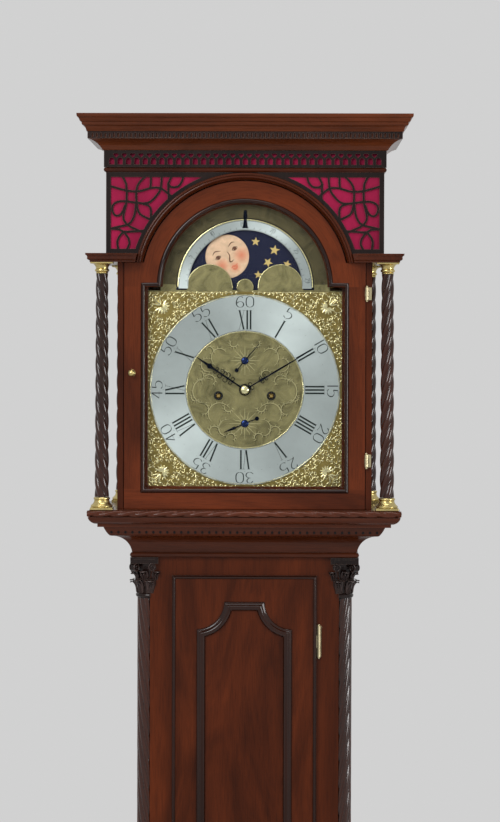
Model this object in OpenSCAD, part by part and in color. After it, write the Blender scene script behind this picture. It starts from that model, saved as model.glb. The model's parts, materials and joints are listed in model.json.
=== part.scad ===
// Longcase clock with a flat-topped hood, twisted columns, an arched moon dial and an eight-day movement.
// Millimetres. X to the right, Y towards the wall, Z up. The origin is on the floor, under the middle.

/* [Case] */
// Width of the trunk
trunk_w = 361; // [340:1:372]
// Depth from the wall to the trunk's front face
trunk_d = 204; // [196:1:212]
// Thickness of the trunk and base boards
board_t = 12; // [9:0.5:14]
// Thickness of the backboard
back_t = 12; // [8:0.5:16]
// Height of the plinth skirting
plinth_h = 100; // [60:1:140]
// Thickness of the plinth skirting
plinth_t = 10; // [6:0.5:16]
// Height of the base box from the floor
base_h = 560; // [480:5:640]
// How far the base stands out from the trunk
base_proj = 46; // [36:1:56]
// Height of the moulding between base and trunk
base_mould_h = 52; // [40:1:64]
// Height of the trunk between its two mouldings
trunk_h = 890; // [860:5:960]
// Radius of the quarter columns on the trunk's corners
quarter_r = 22; // [18:0.5:24]
// Height of the carved capitals of the quarter columns
capital_h = 69; // [60:1:76]
// Height of the moulded bases of the quarter columns
quarter_base_h = 26; // [20:1:34]

/* [Trunk door] */
// Height of the trunk door
trunk_door_h = 822; // [760:2:838]
// Width of the trunk door over its lipped edge
trunk_door_w = 243; // [220:1:252]
// Thickness of the door's lip in front of the frame
trunk_lip_t = 6; // [5:0.25:8]
// How far the lip laps over the frame
trunk_lap = 8; // [6:0.5:10]
// Thickness of the door behind the lip
trunk_door_t = 14; // [10:0.5:18]
// Width between the outer edges of the door's applied moulding
panel_w = 160; // [140:1:176]
// Radius of the moulding's hollow corners
panel_corner_r = 46; // [36:1:54]
// Width of the applied moulding
panel_mould_w = 16; // [12:0.5:18]

/* [Waist] */
// Height of the moulding that carries the hood
waist_h = 71; // [60:1:84]
// How far that moulding stands out from the trunk
waist_proj = 75; // [70:1:84]

/* [Hood] */
// Width over the hood's side boards
hood_w = 422; // [418:1:428]
// Depth from the wall to the face of the hood door
hood_d = 253; // [250:1:262]
// Thickness of the hood's base frame
hood_base_h = 12; // [9:0.5:16]
// Thickness of the hood's side boards
hood_side_t = 10; // [8:0.5:10]
// Width over the upper box, behind its frets
upper_w = 454; // [446:1:462]
// How far the moulding over the columns sits above the centre of the arch
ent_lift = 36; // [30:1:44]
// Height of that moulding
ent_h = 14.5; // [12:0.5:18]
// How far that moulding stands out from the upper box
ent_proj = 32.5; // [28:0.5:34]
// Height of the fretted panel above the arch moulding
tymp_over = 0.8; // [0.4:0.2:20]
// Height of the bead under the frieze
bead_h = 8; // [6:0.5:12]
// Height of the fretted frieze
frieze_h = 28; // [26:0.5:32]
// Height of the cornice
cornice_h = 58; // [54:1:70]
// How far the cornice stands out from the frieze
cornice_proj = 46; // [40:1:50]
// Thickness of the applied frets
fret_t = 2.4; // [1.6:0.2:3.2]
// Radius of a hood column at its foot
column_r = 12; // [10:0.5:13.5]
// Radius of a hood column at its head
column_top_r = 10.3; // [8.5:0.1:11.5]
// Height of a column's brass cap
cap_h = 19; // [15:0.5:22]
// Height of a column's brass base
column_base_h = 21; // [17:0.5:26]

/* [Hood door] */
// Thickness of the hood door
door_t = 22; // [20:0.5:24]
// Width of the door's stiles
stile_w = 34.5; // [32:0.5:36]
// Height of the door's bottom rail
rail_h = 34; // [28:0.5:42]
// Radius of the door's arched head
door_arch_r = 171; // [166:0.5:172]
// Radius of the arched opening in the door
opening_r = 139; // [134:0.5:140]
// Thickness of the door glass
glass_t = 2.5; // [2:0.1:3]
// Radius of the brass door knob
knob_r = 5.8; // [4.5:0.1:7]

/* [Dial] */
// Side of the square part of the dial
dial_w = 330; // [326:1:332]
// Thickness of the dial plate
dial_t = 3; // [2:0.25:4]
// Depth of the dial's face behind the door's face
dial_set = 28; // [27:0.25:30]
// Width of the silvered chapter ring
ring_w = 60.5; // [56:0.5:64]
// Radius of the moon disc
moon_r = 117; // [112:0.5:119]
// Reach of the minute hand from the centre
minute_l = 137; // [120:1:146]
// Reach of the hour hand from the centre
hour_l = 100; // [84:1:106]

/* [Movement] */
// Distance between the faces of the two brass plates
plate_gap = 64; // [62:0.5:68]
// Thickness of the movement plates
plate_t = 3; // [2.5:0.25:4]
// Radius of the line barrels
barrel_r = 24.5; // [22:0.25:25]
// Sideways place of the winding squares
wind_x = 44; // [42:0.25:46]
// Radius of a driving weight
weight_r = 27; // [22:0.5:28]
// Length of a driving weight
weight_l = 190; // [150:2:230]
// Radius of the gut line
line_r = 0.8; // [0.6:0.1:1.1]
// Length from the suspension to the middle of the bob
pendulum_l = 994; // [960:1:1020]
// Radius of the pendulum bob
bob_r = 55; // [45:1:62]
// Radius of the bell's mouth
bell_r = 40; // [34:1:41]

/* [Hidden] */

$fn = 64;

// Clearances
board_joint = 0.1;      // glue line between boards of one piece
slide_gap = 0.3;        // between the hood and what it slides on, and between a door and its frame
run_gap = 0.05;         // radial play of an arbor, pin or pipe
door_gap = 1;           // between the hood door's edges and the hood's sides
arch_gap = 2;           // between the door's arched head and the hood
arch_mould_w = 11.2;    // width of the moulding round the arch
swing_gap = 1.5;        // between the trunk door and its opening

// Planes across the depth
silk_t = 0.6;
applied_t = fret_t + silk_t;
back_y = (hood_d + applied_t + cornice_proj) / 2;
case_back = back_y - back_t;
hood_back = case_back - slide_gap;
trunk_y = back_y - trunk_d;
base_y = trunk_y - base_proj;
hood_y = back_y - hood_d;
mask_y = hood_y + door_t + slide_gap;
dial_y = hood_y + dial_set;
mask_back = dial_y - 0.5;

// Levels
trunk_z = base_h + base_mould_h;
waist_z = trunk_z + trunk_h;
hood_z = waist_z + waist_h;
door_z = hood_z + hood_base_h;
opening_z = door_z + rail_h;
dial_lap = 1;
dial_z = opening_z + dial_w / 2 - dial_lap;
arch_rise = 6;
arch_z = dial_z + dial_w / 2 + arch_rise;
door_arch_z = arch_z + 4;
arch_mould_r = door_arch_r + arch_gap + arch_mould_w;
ent_z = door_arch_z + ent_lift;
hood_side_h = ent_z - door_z;
tymp_z = ent_z + ent_h;
bead_z = door_arch_z + arch_mould_r + tymp_over;
tymp_h = bead_z - tymp_z;
frieze_z = bead_z + bead_h;
cornice_z = frieze_z + frieze_h;
top_z = cornice_z + cornice_h;

// Half widths
trunk_x = trunk_w / 2;
base_x = trunk_x + base_proj;
hood_x = hood_w / 2;
hood_in = hood_x - hood_side_t;
door_x = hood_in - door_gap;
opening_x = door_x - stile_w;
upper_x = upper_w / 2;
frieze_x = upper_x + applied_t;
frieze_y = hood_y - applied_t;
mask_x = dial_w / 2 - 3.5;
ring_od = dial_w - 13;
ring_id = ring_od - 2 * ring_w;
tip_x = trunk_x + waist_proj + 2;
tip_y = trunk_y - waist_proj - 2;

// Round shapes and mouldings are drawn with these
function arc(cx, cy, r, from, to, n = 6) =
  [for (i = [0:n]) let (a = from + (to - from) * i / n) [cx + r * cos(a), cy + r * sin(a)]];

// Outline of a wheel with n teeth of module m, one of which points along the first axis
function teeth(n, m) = [
  for (i = [0:n - 1], k = [0:3])
    let (half = [-0.26, -0.1, 0.1, 0.26][k], r = n * m / 2 + ((k == 0 || k == 3) ? -1.15 : 0.8) * m,
      a = (i + half) * 360 / n)
    [r * cos(a), r * sin(a)]
];

// Points along a smooth curve through p, used for the straps of the frets
function smooth(p, n = 4) = concat([
  for (i = [0:len(p) - 2], k = [0:n - 1])
    let (a = p[max(i - 1, 0)], b = p[i], c = p[i + 1], d = p[min(i + 2, len(p) - 1)], t = k / n)
    0.5 * ((2 * b) + (c - a) * t + (2 * a - 5 * b + 4 * c - d) * t * t + (3 * b - a - 3 * c + d) * t * t * t)
], [p[len(p) - 1]]);

// Two values on either side of a place
function span(at, low, high) = [at + low, at + high];

module both_sides() {
  children();
  mirror([1, 0, 0]) children();
}

module block(x, y, z) {
  translate([x[0], y[0], z[0]]) cube([x[1] - x[0], y[1] - y[0], z[1] - z[0]]);
}

// A board seen from the front: its outline is drawn in width and height, between two planes of the depth
module slab(y) {
  translate([0, y[1], 0]) rotate([90, 0, 0]) linear_extrude(y[1] - y[0]) children();
}

module rod_y(x, z, r, y) {
  translate([x, y[1], z]) rotate([90, 0, 0]) cylinder(r = r, h = y[1] - y[0]);
}

// A moulding's profile of (out, up) points, run round the front and both sides in three mitred lengths
module wrap(profile, half_w, front_y, inward, outward, end_y = case_back) {
  j = board_joint / 2;
  tall = top_z + 10;
  intersection() {
    translate([-half_w - outward, front_y, 0]) rotate([90, 0, 90])
      linear_extrude(2 * (half_w + outward)) polygon([for (p = profile) [-p[0], p[1]]]);
    linear_extrude(tall) polygon([
      [-half_w - outward + j, front_y - outward], [half_w + outward - j, front_y - outward],
      [half_w - inward - j, front_y + inward], [-half_w + inward + j, front_y + inward]
    ]);
  }
  both_sides() intersection() {
    translate([half_w, end_y, 0]) rotate([90, 0, 0])
      linear_extrude(end_y - front_y + outward) polygon(profile);
    linear_extrude(tall) polygon([
      [half_w + outward + j, front_y - outward], [half_w + outward + j, end_y],
      [half_w - inward + j, end_y], [half_w - inward + j, front_y + inward]
    ]);
  }
}

// Case

module backboard() {
  ear = hood_in - 1;
  color("#3d2413") difference() {
    slab([case_back, back_y]) union() {
      translate([-trunk_x, 0]) square([2 * trunk_x, cornice_z - 40]);
      translate([-base_x + board_t, 0]) square([2 * (base_x - board_t), base_h]);
      translate([-ear, hood_z]) square([2 * ear, cornice_z - 40 - hood_z]);
    }
    rod_y(0, screw_z, screw_r, [case_back - 1, back_y + 1]);
  }
}
screw_r = 3;
screw_z = trunk_z + 0.8 * trunk_h;

module base_carcass() {
  color("#4a2112") {
    block([-base_x + board_t + board_joint, base_x - board_t - board_joint], [base_y, base_y + board_t], [0, base_h]);
    both_sides() block([base_x - board_t, base_x], [base_y, back_y], [0, base_h]);
    bottom_z = plinth_h / 3;
    block([-base_x + board_t + board_joint, base_x - board_t - board_joint],
      [base_y + board_t + board_joint, case_back - board_joint], [bottom_z, bottom_z + board_t]);
  }
}

// A flat shape whose corners are scooped out by quarter circles, shrunk all round by an inset
module scooped(w, h, r, inset = 0) {
  difference() {
    square([w - 2 * inset, h - 2 * inset], center = true);
    for (x = [-1, 1], y = [-1, 1]) translate([x * w / 2, y * h / 2]) circle(r + inset);
  }
}

// A moulded ring with scooped corners, built up in steps across its width
module scooped_moulding(w, h, r, ring_w, face_y, high) {
  for (step = [[0, 1, 0.3], [0.05, 0.94, 0.55], [0.12, 0.84, 0.78], [0.22, 0.74, 0.93], [0.34, 0.62, 1]])
    slab([face_y - step[2] * high, face_y]) difference() {
      scooped(w, h, r, step[0] * ring_w);
      scooped(w, h, r, step[1] * ring_w);
    }
}

module base_panel() {
  field_z = (plinth_h + base_h) / 2 + 6;
  w = 2 * base_x - 96;
  h = base_h - plinth_h - 108;
  color("#5a2a16") translate([0, 0, field_z]) {
    slab([base_y - 6, base_y]) scooped(w - 34, h - 34, 34);
    scooped_moulding(w, h, 34, panel_mould_w, base_y, 8);
  }
}

module plinth() {
  t = plinth_t;
  color("#3d1c10") wrap(concat([[0, 0], [t, 0], [t, plinth_h - 14]], arc(t - 8, plinth_h - 12, 6, 0, 90), [[0, plinth_h - 6]]),
    base_x, base_y, 0, 30, back_y);
}

module base_moulding() {
  z = base_h;
  h = base_mould_h;
  p = base_proj;
  color("#5a2a16") wrap(concat([[0, z + board_joint], [p + 3, z + board_joint], [p + 3, z + 4]],
    arc(p - 4, z + 5, 7, 0, 90), [[p - 6, z + 12]], arc(p - 6, z + h - 14, h - 26 - 0.01, 270, 184),
    [[8, z + h - 12]], arc(2, z + h - 6, 5, -60, 90), [[0, z + h]]), trunk_x, trunk_y, 0, p + 30, back_y);
}

seat_t = 15;
seat_z = dial_z - 68 - seat_t;
cheek = [-18, 70];

module trunk_sides() {
  x = [trunk_x - board_t, trunk_x];
  color("#4a2112") both_sides() {
    difference() {
      block(x, [trunk_y + quarter_r, case_back], [base_h, seat_z]);
      block([x[0] - 1, x[1] + 1], [cheek[1], case_back + 1], [hood_z, seat_z + 1]);
      block([x[0] - 1, x[1] + 1], [trunk_y - 1, cheek[0]], [hood_z, seat_z + 1]);
    }
    block([x[0] - 20, x[0] - board_joint], [trunk_y + quarter_r + board_joint, trunk_y + quarter_r + 20], [base_h, waist_z + 20]);
  }
}

// The opening that the trunk door closes
open_x = trunk_door_w / 2 - trunk_lap;
door_bottom_z = trunk_z + (trunk_h - trunk_door_h) / 2 + 4;
door_top_z = door_bottom_z + trunk_door_h;
frame_back = trunk_y + quarter_r;
trunk_hinges = [door_top_z - 111, door_bottom_z + 111];
trunk_hinge_h = 52;
lock_drop = 60;
trunk_pin = [trunk_door_w / 2 + 3.5, trunk_y - trunk_lip_t + 2.5];
knuckle_r = 3.2;
pin_r = 1.4;

module trunk_front_frame() {
  stile_out = trunk_x - quarter_r;
  low = door_bottom_z + trunk_lap;
  high = door_top_z - trunk_lap;
  color("#54260f") {
    difference() {
      both_sides() block([open_x, stile_out], [trunk_y, frame_back], [base_h, waist_z + 20]);
      for (z = trunk_hinges)
        block([open_x - 1, trunk_pin[0] + 4], [trunk_y - 1, trunk_y + 1.6], span(z, -trunk_hinge_h / 2 - 0.1, trunk_hinge_h / 2 + 0.1));
    }
    block([-open_x + board_joint, open_x - board_joint], [trunk_y, frame_back], [base_h, low]);
    block([-open_x + board_joint, open_x - board_joint], [trunk_y, frame_back], [high, waist_z + 20]);
  }
}

// The hood's columns have four strands, and the trunk's thicker ones a slow twist of twelve
twist_lead = 126;
strand_deep = 2.6;
quarter_strands = 12;
quarter_lead = 540;
quarter_deep = 2.2;

// A quarter column in the corner of two faces; the wood behind its two flat sides is left out
module quarter_column(h, hand) {
  n = 14;
  rings = round(h / 15);
  pts = [for (i = [0:rings]) let (z = h * i / rings) each concat([[0, 0, z]],
    [for (k = [0:n]) let (a = -90 + 90 * k / n, turned = quarter_strands / 2 * (a - hand * 360 * z / quarter_lead),
      r = quarter_r - 0.3 - quarter_deep * (1 - abs(cos(turned)))) [r * cos(a), r * sin(a), z]])];
  m = n + 2;
  polyhedron(pts, concat([[for (k = [0:m - 1]) k]], [[for (k = [m - 1:-1:0]) rings * m + k]],
    [for (i = [0:rings - 1], k = [0:m - 1]) let (a = i * m + k, b = i * m + (k + 1) % m) each [[a, a + m, b], [b, a + m, b + m]]]));
}

module trunk_quarter_columns() {
  z = trunk_z + quarter_base_h;
  color("#4a2214") both_sides() translate([trunk_x - quarter_r, trunk_y + quarter_r, z + board_joint])
    quarter_column(waist_z - capital_h - z - 2 * board_joint, 1);
}

// The parts of a turned or carved piece that stand outside the trunk's corner, drawn about the column's axis
module round_corner() {
  q = quarter_r;
  both_sides() translate([trunk_x - q, trunk_y + q, 0]) difference() {
    children();
    block([-60, 0.05], [-q - 0.05, 60], [-900, 3000]);
    block([-60, q + 0.05], [-0.05, 60], [-900, 3000]);
  }
}

// One curled leaf of the capital, w degrees wide, on a bell of radius r
module leaf(r, foot, high, curl, w) {
  rotate([0, 0, -w / 2]) rotate_extrude(angle = w) polygon(concat([[r - 3, foot], [r + 2, foot], [r + 2.5, foot + high * 0.5]],
    arc(r + 2.5 + curl, foot + high * 0.72, curl, 180, 20, 6), [[r + curl * 1.2, foot + high * 0.92], [r - 3, foot + high]]));
}

// A corner capital: its abacus and volutes reach a little way in along the trunk's front and side
module capital() {
  q = quarter_r;
  h = capital_h;
  reach = q + 10.7;
  back = 14;
  intersection() {
    rotate_extrude() polygon(concat([[2, 0], [q - 1, 0]], arc(q - 1, 4, 4, -90, 90), [[q - 2, 9], [q - 1, h * 0.4],
      [q + 4, h * 0.74], [q + 7, h - 10.5], [2, h - 10.5]]));
    block([-0.5, 60], [-60, 0.5], [-1, h]);
  }
  for (a = [-90, -45, 0]) rotate([0, 0, a]) leaf(q - 1, 9, h * 0.36, 4.5, 30);
  rotate([0, 0, -45]) translate([q + 14, 0, h - 17.5]) rotate([90, 0, 0]) cylinder(r = 7, h = 9, center = true);
  translate([-4, -q - 2, h - 17]) rotate([90, 0, 0]) cylinder(r = 6.5, h = 8);
  translate([q + 2, 4, h - 17]) rotate([0, 90, 0]) cylinder(r = 6.5, h = 8);
  difference() {
    translate([-back, -reach, h - 11]) cube([reach + back, reach + back, 11 - board_joint]);
    for (at = [[(reach - back) / 2, -reach - 52], [reach + 52, (back - reach) / 2]])
      translate([at[0], at[1], h - 12]) cylinder(r = 55, h = 8.5);
  }
}

module quarter_base() {
  q = quarter_r;
  h = quarter_base_h;
  rotate_extrude() polygon(concat([[2, 6], [q + 3, 6]], arc(q + 2, 10, 4, -90, 90), [[q + 1, 15], [q - 1, h - 8]],
    arc(q - 1, h - 4, 3, -90, 90), [[2, h - 0.5]]));
  linear_extrude(7) square(2 * (q + 6), center = true);
}

module trunk_capitals() {
  color("#3a1c12") round_corner() {
    translate([0, 0, waist_z - capital_h]) capital();
    translate([0, 0, trunk_z + board_joint]) quarter_base();
  }
}

module waist_moulding() {
  z = waist_z;
  h = waist_h - slide_gap;
  p = waist_proj;
  color("#5a2a16") wrap(concat([[0, z], [7, z]], arc(7, z + 4.2, 4.2, -90, 90, 8), arc(p - 33.5, z + 4, 34, 171, 91, 10),
    [[p - 33, z + 38.5], [p - 32, z + 38.5], [p - 29, z + 41.5], [p - 25.5, z + 46.5], [p - 22.5, z + 52], [p - 22, z + 54],
    [p - 12.5, z + 54], [p - 12.5, z + 59]], arc(p - 12.5, z + 75, 15.8, -88, -18, 7), [[p + 2.5, z + h], [0, z + h]]),
    trunk_x, trunk_y, 0, p + 30, back_y);
}

module seat_board() {
  color("#6b4526") difference() {
    block([-trunk_x, trunk_x], [cheek[0] - 30, 34], [seat_z, seat_z + seat_t]);
    for (s = [-1, 1], x = line_x(s)) translate([x, line_y, seat_z - 1]) cylinder(r = line_r + 2.2, h = seat_t + 2);
  }
}

// A butt hinge's fixed knuckles with their pin, and its turning knuckle, about the third axis
module fixed_knuckles(h) {
  translate([0, 0, -h / 2]) {
    cylinder(r = knuckle_r, h = h * 0.3);
    translate([0, 0, h * 0.7]) cylinder(r = knuckle_r, h = h * 0.3);
    cylinder(r = pin_r, h = h);
    for (z = [-1.5, h + 1.5]) translate([0, 0, z]) sphere(2);
  }
}

module turning_knuckle(h) {
  difference() {
    union() {
      cylinder(r = knuckle_r, h = h * 0.4 - 0.3, center = true);
      children();
    }
    cylinder(r = pin_r + run_gap, h = h, center = true);
  }
}

module trunk_hinge_case_leaves() {
  h = trunk_hinge_h;
  y = trunk_y - trunk_pin[1];
  color("#b08d3a") for (z = trunk_hinges) translate([trunk_pin[0], trunk_pin[1], z]) {
    fixed_knuckles(h);
    block([open_x - trunk_pin[0], 3.8], [y + 0.1, y + 1.5], [-h / 2, h / 2]);
    for (s = [[-0.5, -0.2], [0.2, 0.5]]) block([-1.5, 1.5], [1, y + 1], h * s);
  }
}

module trunk_door_board() {
  x = trunk_door_w / 2;
  y = trunk_y - slide_gap;
  body = trunk_lap + swing_gap;
  color("#5e2c14") difference() {
    union() {
      for (s = [[0, 0.45], [1.6, 0.75], [3.6, 1]]) slab([y - s[1] * trunk_lip_t, y])
        translate([-x + s[0], door_bottom_z + s[0]]) square([2 * (x - s[0]), trunk_door_h - 2 * s[0]]);
      block([-x + body, x - body], [y - 1, y + trunk_door_t], [door_bottom_z + body, door_top_z - body]);
    }
    for (z = trunk_hinges) block([x - 5.2, x + 1], [y - trunk_lip_t - 1, y + 1], span(z, -trunk_hinge_h * 0.2 - 0.2, trunk_hinge_h * 0.2 + 0.2));
  }
}

module trunk_door_mouldings() {
  high = 7;
  h = trunk_door_h - 89;
  color("#6b3218") translate([0, 0, door_top_z - 44.5 - h / 2])
    scooped_moulding(panel_w, h, panel_corner_r, panel_mould_w, trunk_y - slide_gap - trunk_lip_t, high);
}

module trunk_door_brasses() {
  h = trunk_hinge_h * 0.4 - 0.3;
  y = trunk_y - slide_gap - trunk_pin[1];
  lock_z = (door_bottom_z + door_top_z) / 2 - lock_drop;
  color("#b08d3a") {
    for (z = trunk_hinges) translate([trunk_pin[0], trunk_pin[1], z]) turning_knuckle(trunk_hinge_h)
      block([-8.6, -1], [-1.6, 0.4], [-h / 2, h / 2]);
    slab(span(trunk_y - slide_gap - trunk_lip_t, -1.2, 0)) difference() {
      union() {
        translate([10 - open_x, lock_z]) circle(6);
        translate([10 - open_x, lock_z - 8]) circle(4.5);
      }
      translate([10 - open_x, lock_z + 1]) circle(1.8);
      translate([9.2 - open_x, lock_z - 6]) square([1.6, 7]);
    }
  }
}

// Hood

module hood_base_frame() {
  inward = tip_x - trunk_x - 3;
  z = [hood_z, door_z - board_joint];
  color("#4a2013") wrap(concat([[-inward, z[0]], [-2, z[0]]], arc(-4, (z[0] + z[1]) / 2, hood_base_h / 2 - 0.5, -80, 80, 8),
    [[-2, z[1]], [-inward, z[1]]]), tip_x, tip_y, inward, 20, hood_back);
}

// The arched light in each side of the hood
light_y = 20;
light_w = 62;
light_z = [door_z + 80, door_z + 290];

module side_light(grow) {
  translate([light_y - light_w - grow, light_z[0] - grow]) square([2 * (light_w + grow), light_z[1] - light_z[0] + grow]);
  translate([light_y, light_z[1]]) circle(light_w + grow);
}

// A board seen from the side, drawn in depth and height, between two half widths
module cheek_slab(x) {
  translate([x[0], 0, 0]) rotate([90, 0, 90]) linear_extrude(x[1] - x[0]) children();
}

module hood_sides() {
  color("#4a2013") both_sides() difference() {
    block([hood_in, hood_x], [hood_y + 2, hood_back], [door_z, ent_z - board_joint]);
    cheek_slab([hood_in - 1, hood_x + 1]) side_light(0);
    cheek_slab([hood_in - 1, hood_in + 4]) side_light(5);
  }
}

module hood_side_glass() {
  color([0.8, 0.88, 0.88, 0.4]) both_sides() cheek_slab(span(hood_in, 4 - glass_t + board_joint, 4)) side_light(4.5);
}

module hood_mask() {
  j = board_joint / 2;
  color("#3a1a0e") {
    both_sides() {
      translate([0, 0, door_z]) linear_extrude(arch_z - door_z - j) polygon([[mask_x, mask_y], [hood_in - j, mask_y],
        [hood_in - j, mask_y + 20], [dial_w / 2 + 3, mask_y + 20], [dial_w / 2 + 3, mask_back], [mask_x, mask_back]]);
      slab([mask_y, mask_back]) difference() {
        translate([j, arch_z + j]) square([hood_in - 2 * j, bead_z - 7 - arch_z]);
        translate([0, arch_z]) circle(opening_r - 2);
      }
    }
    block([-mask_x + j, mask_x - j], [mask_y, mask_back], [door_z, opening_z + 3]);
  }
}

hole_r = door_arch_r + arch_gap;
box_t = 10;

module upper_box() {
  color("#4a2013") {
    slab([hood_y, hood_y + box_t]) difference() {
      translate([-upper_x, tymp_z]) square([2 * upper_x, cornice_z - board_joint - tymp_z]);
      translate([0, door_arch_z]) circle(hole_r);
    }
    both_sides() block([upper_x - box_t, upper_x], [hood_y + box_t + board_joint, hood_back], [tymp_z, cornice_z - board_joint]);
  }
}

border = 8;

// The part of the panel beside the arch that the fret fills, inside its border
module spandrel(inset) {
  difference() {
    translate([0, tymp_z + inset]) square([frieze_x - inset, tymp_h - 2 * inset]);
    translate([0, door_arch_z]) circle(arch_mould_r + inset * 0.8);
    translate([-1, 0]) square([22, 3000]);
  }
}

// The straps' middle lines, as distances in from the outer edge and down from the top of the panel
spandrel_straps = [
  [[7, 23], [33, 30.3], [49, 31.7], [60, 30.3], [75, 25.8], [88, 25.8], [96, 30], [113, 44]],
  [[25, 5], [33, 19], [34, 47], [31, 61], [28.5, 74], [31, 82], [40, 90], [70, 103]],
  [[67, 5], [55, 17], [50, 30], [50.6, 51], [54, 66], [62, 73], [83, 82]],
  [[74, 5], [74, 18], [72.7, 28]],
  [[92, 5], [90.6, 26], [84, 38], [73, 49], [60, 51.5], [33, 48], [19, 49], [11, 55], [10.5, 64], [15, 71.5],
    [22.5, 71], [28, 64], [31.5, 54]],
  [[49.7, 50], [47.6, 68], [43.4, 79], [37, 86], [24.5, 89.5], [6, 93.5]],
  [[60, 51.8], [70, 55], [74.5, 63.6], [73, 86]],
  [[70, 96], [43, 98], [29, 98.4], [22, 94.5], [6, 93.5]],
  [[28.7, 98], [37, 109], [38.5, 119], [34, 128]],
  [[28.7, 98], [21, 108], [18.7, 117], [20.5, 128]],
  [[128, 5], [125.5, 15], [119, 23.5], [108, 24.5], [103, 18], [110, 5]],
  [[102.5, 18], [104, 48]]
];
strap_w = 3.6;

function across(p, i) = let (a = p[max(i - 1, 0)], b = p[min(i + 1, len(p) - 1)], d = b - a) [-d[1], d[0]] / norm(d);

module strap(p) {
  s = smooth(p, 2);
  polygon(concat([for (i = [0:len(s) - 1]) s[i] + across(s, i) * strap_w / 2],
    [for (i = [len(s) - 1:-1:0]) s[i] - across(s, i) * strap_w / 2]));
}

// How far the frieze stands in front of the panel under it
frieze_out = 3.5;
arcade_units = floor((2 * frieze_x - 6) / 13.6);
arcade_pitch = (2 * frieze_x - 19) / (arcade_units - 1);

module blind_frets() {
  y = [frieze_y, frieze_y + fret_t];
  units = arcade_units;
  color("#241210") {
    both_sides() slab(y) union() {
      difference() {
        spandrel(0);
        spandrel(border);
      }
      intersection() {
        spandrel(border - 2);
        union() for (p = spandrel_straps) strap([for (q = p) [frieze_x - q[0], bead_z - q[1]]]);
      }
    }
    slab([frieze_y - frieze_out, y[1]]) difference() {
      translate([-frieze_x - frieze_out, frieze_z]) square([2 * (frieze_x + frieze_out), frieze_h - board_joint]);
      for (i = [0:units - 1]) translate([(i - (units - 1) / 2) * arcade_pitch, frieze_z + 4.5])
        polygon(concat([[4.3, 0]], arc(0, 7, 4.3, 0, 180, 6), [[-4.3, 0]]));
      for (i = [0:units - 2]) translate([(i - (units - 2) / 2) * arcade_pitch, frieze_z + 16])
        polygon(concat([[0, 0]], arc(2.6, 5, 1.9, -40, 90, 3), arc(-2.6, 5, 1.9, 90, 220, 3)));
    }
    both_sides() block([upper_x, frieze_x], [frieze_y + applied_t + board_joint, hood_back], [tymp_z, bead_z - board_joint]);
    both_sides() block([upper_x, frieze_x + frieze_out], [y[1] + board_joint, hood_back], [frieze_z, cornice_z - board_joint]);
  }
}

module fret_silk() {
  color("#c0204f") {
    both_sides() slab([hood_y - silk_t, hood_y]) spandrel(border / 2);
    slab([hood_y - silk_t, hood_y]) translate([3 - frieze_x, frieze_z + 1]) square([2 * frieze_x - 6, frieze_h - 3]);
  }
}

module hood_mouldings() {
  z = ent_z;
  p = ent_proj;
  color("#5a2a16") {
    // The arch, whose inner edge slopes away so that the door's head swings clear
    intersection() {
      translate([0, hood_y, door_arch_z]) rotate([90, 0, 0]) rotate_extrude($fn = 128)
        polygon(concat([[hole_r, 0], [hole_r + 1.5, 3], [hole_r + 3.2, 8]], arc(hole_r + 5, 8.8, 1.8, 150, 60, 3),
          [[hole_r + 7, 9.3], [arch_mould_r - 3.5, 11.5]], arc(arch_mould_r - 2.5, 9.3, 2.5, 80, 0, 4),
          [[arch_mould_r, 0]]));
      slab([hood_y - 30, hood_y]) translate([-frieze_x, ent_z]) square([2 * frieze_x, tymp_h + ent_h]);
    }
    difference() {
      wrap(concat([[-24.5, z], [p - 7, z], [p - 7, z + 2.5], [p - 6, z + 3]], arc(p - 5.8, z + 6.2, 3, -70, 20, 3),
        arc(p + 0.2, z + 8, 3.4, 175, 100, 3), [[p - 0.4, z + 12], [p, z + ent_h - board_joint], [-24.5, z + ent_h - board_joint]]),
        frieze_x, frieze_y, 24.5, p + 6, hood_back);
      rod_y(0, door_arch_z, arch_mould_r + board_joint, [frieze_y - p - 10, mask_y]);
      translate([0, 0, z - 1]) linear_extrude(ent_h + 2) for (side = [-1, 1]) scale([side, 1])
        polygon([[-1, mask_y + 9], [-1, frieze_y - 40], [hole_r + 19, frieze_y - 40], [hole_r + 13, frieze_y - 32.5],
          [hole_r + 1.7, frieze_y - 22], [hole_r + 1.7, mask_y + 9]]);
    }
    wrap(concat([[-applied_t, bead_z], [0, bead_z]], arc(0, bead_z + bead_h / 2, bead_h / 2 - 0.2, -90, 90, 8),
      [[-applied_t, frieze_z - board_joint]]), frieze_x, frieze_y, applied_t, 12, hood_back);
  }
}

dentil_z = cornice_z + 18;
dentil_h = 11.5;
dentil_out = 29;

module cornice() {
  z = cornice_z;
  p = cornice_proj;
  d = dentil_z + dentil_h;
  color("#5e2c14") wrap(concat([[-applied_t, z], [frieze_out + 1.5, z]], arc(35.7, z - 15, 33.7, 152, 103, 7),
    [[dentil_out - 3.4, dentil_z - 0.1], [dentil_out - 3.4, d], [dentil_out + 1.5, d], [dentil_out + 2, d + 2]],
    arc(dentil_out + 9.5, d + 3, 7, 170, 105, 4), [[p - 8, d + 11.5], [p - 8, d + 14.5]], arc(p - 8, d + 18.5, 3.6, -80, 0, 4),
    arc(p - 0.5, d + 19, 3.6, 180, 100, 4), [[p, z + cornice_h - 3.5], [p, z + cornice_h], [-applied_t, z + cornice_h]]),
    frieze_x, frieze_y, applied_t, p + 4, hood_back);
}

dentil_pitch = 7.07;

// A strip of small arched niches along half a width w each way
module niches(w) {
  n = floor(2 * (w - 3) / dentil_pitch);
  difference() {
    translate([-w, 0]) square([2 * w, dentil_h - board_joint]);
    for (i = [0:n - 1]) translate([(i - (n - 1) / 2) * dentil_pitch, 1.6])
      polygon(concat([[1.6, 0]], arc(0, 6, 1.6, 0, 180, 4), [[-1.6, 0]]));
  }
}

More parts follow.
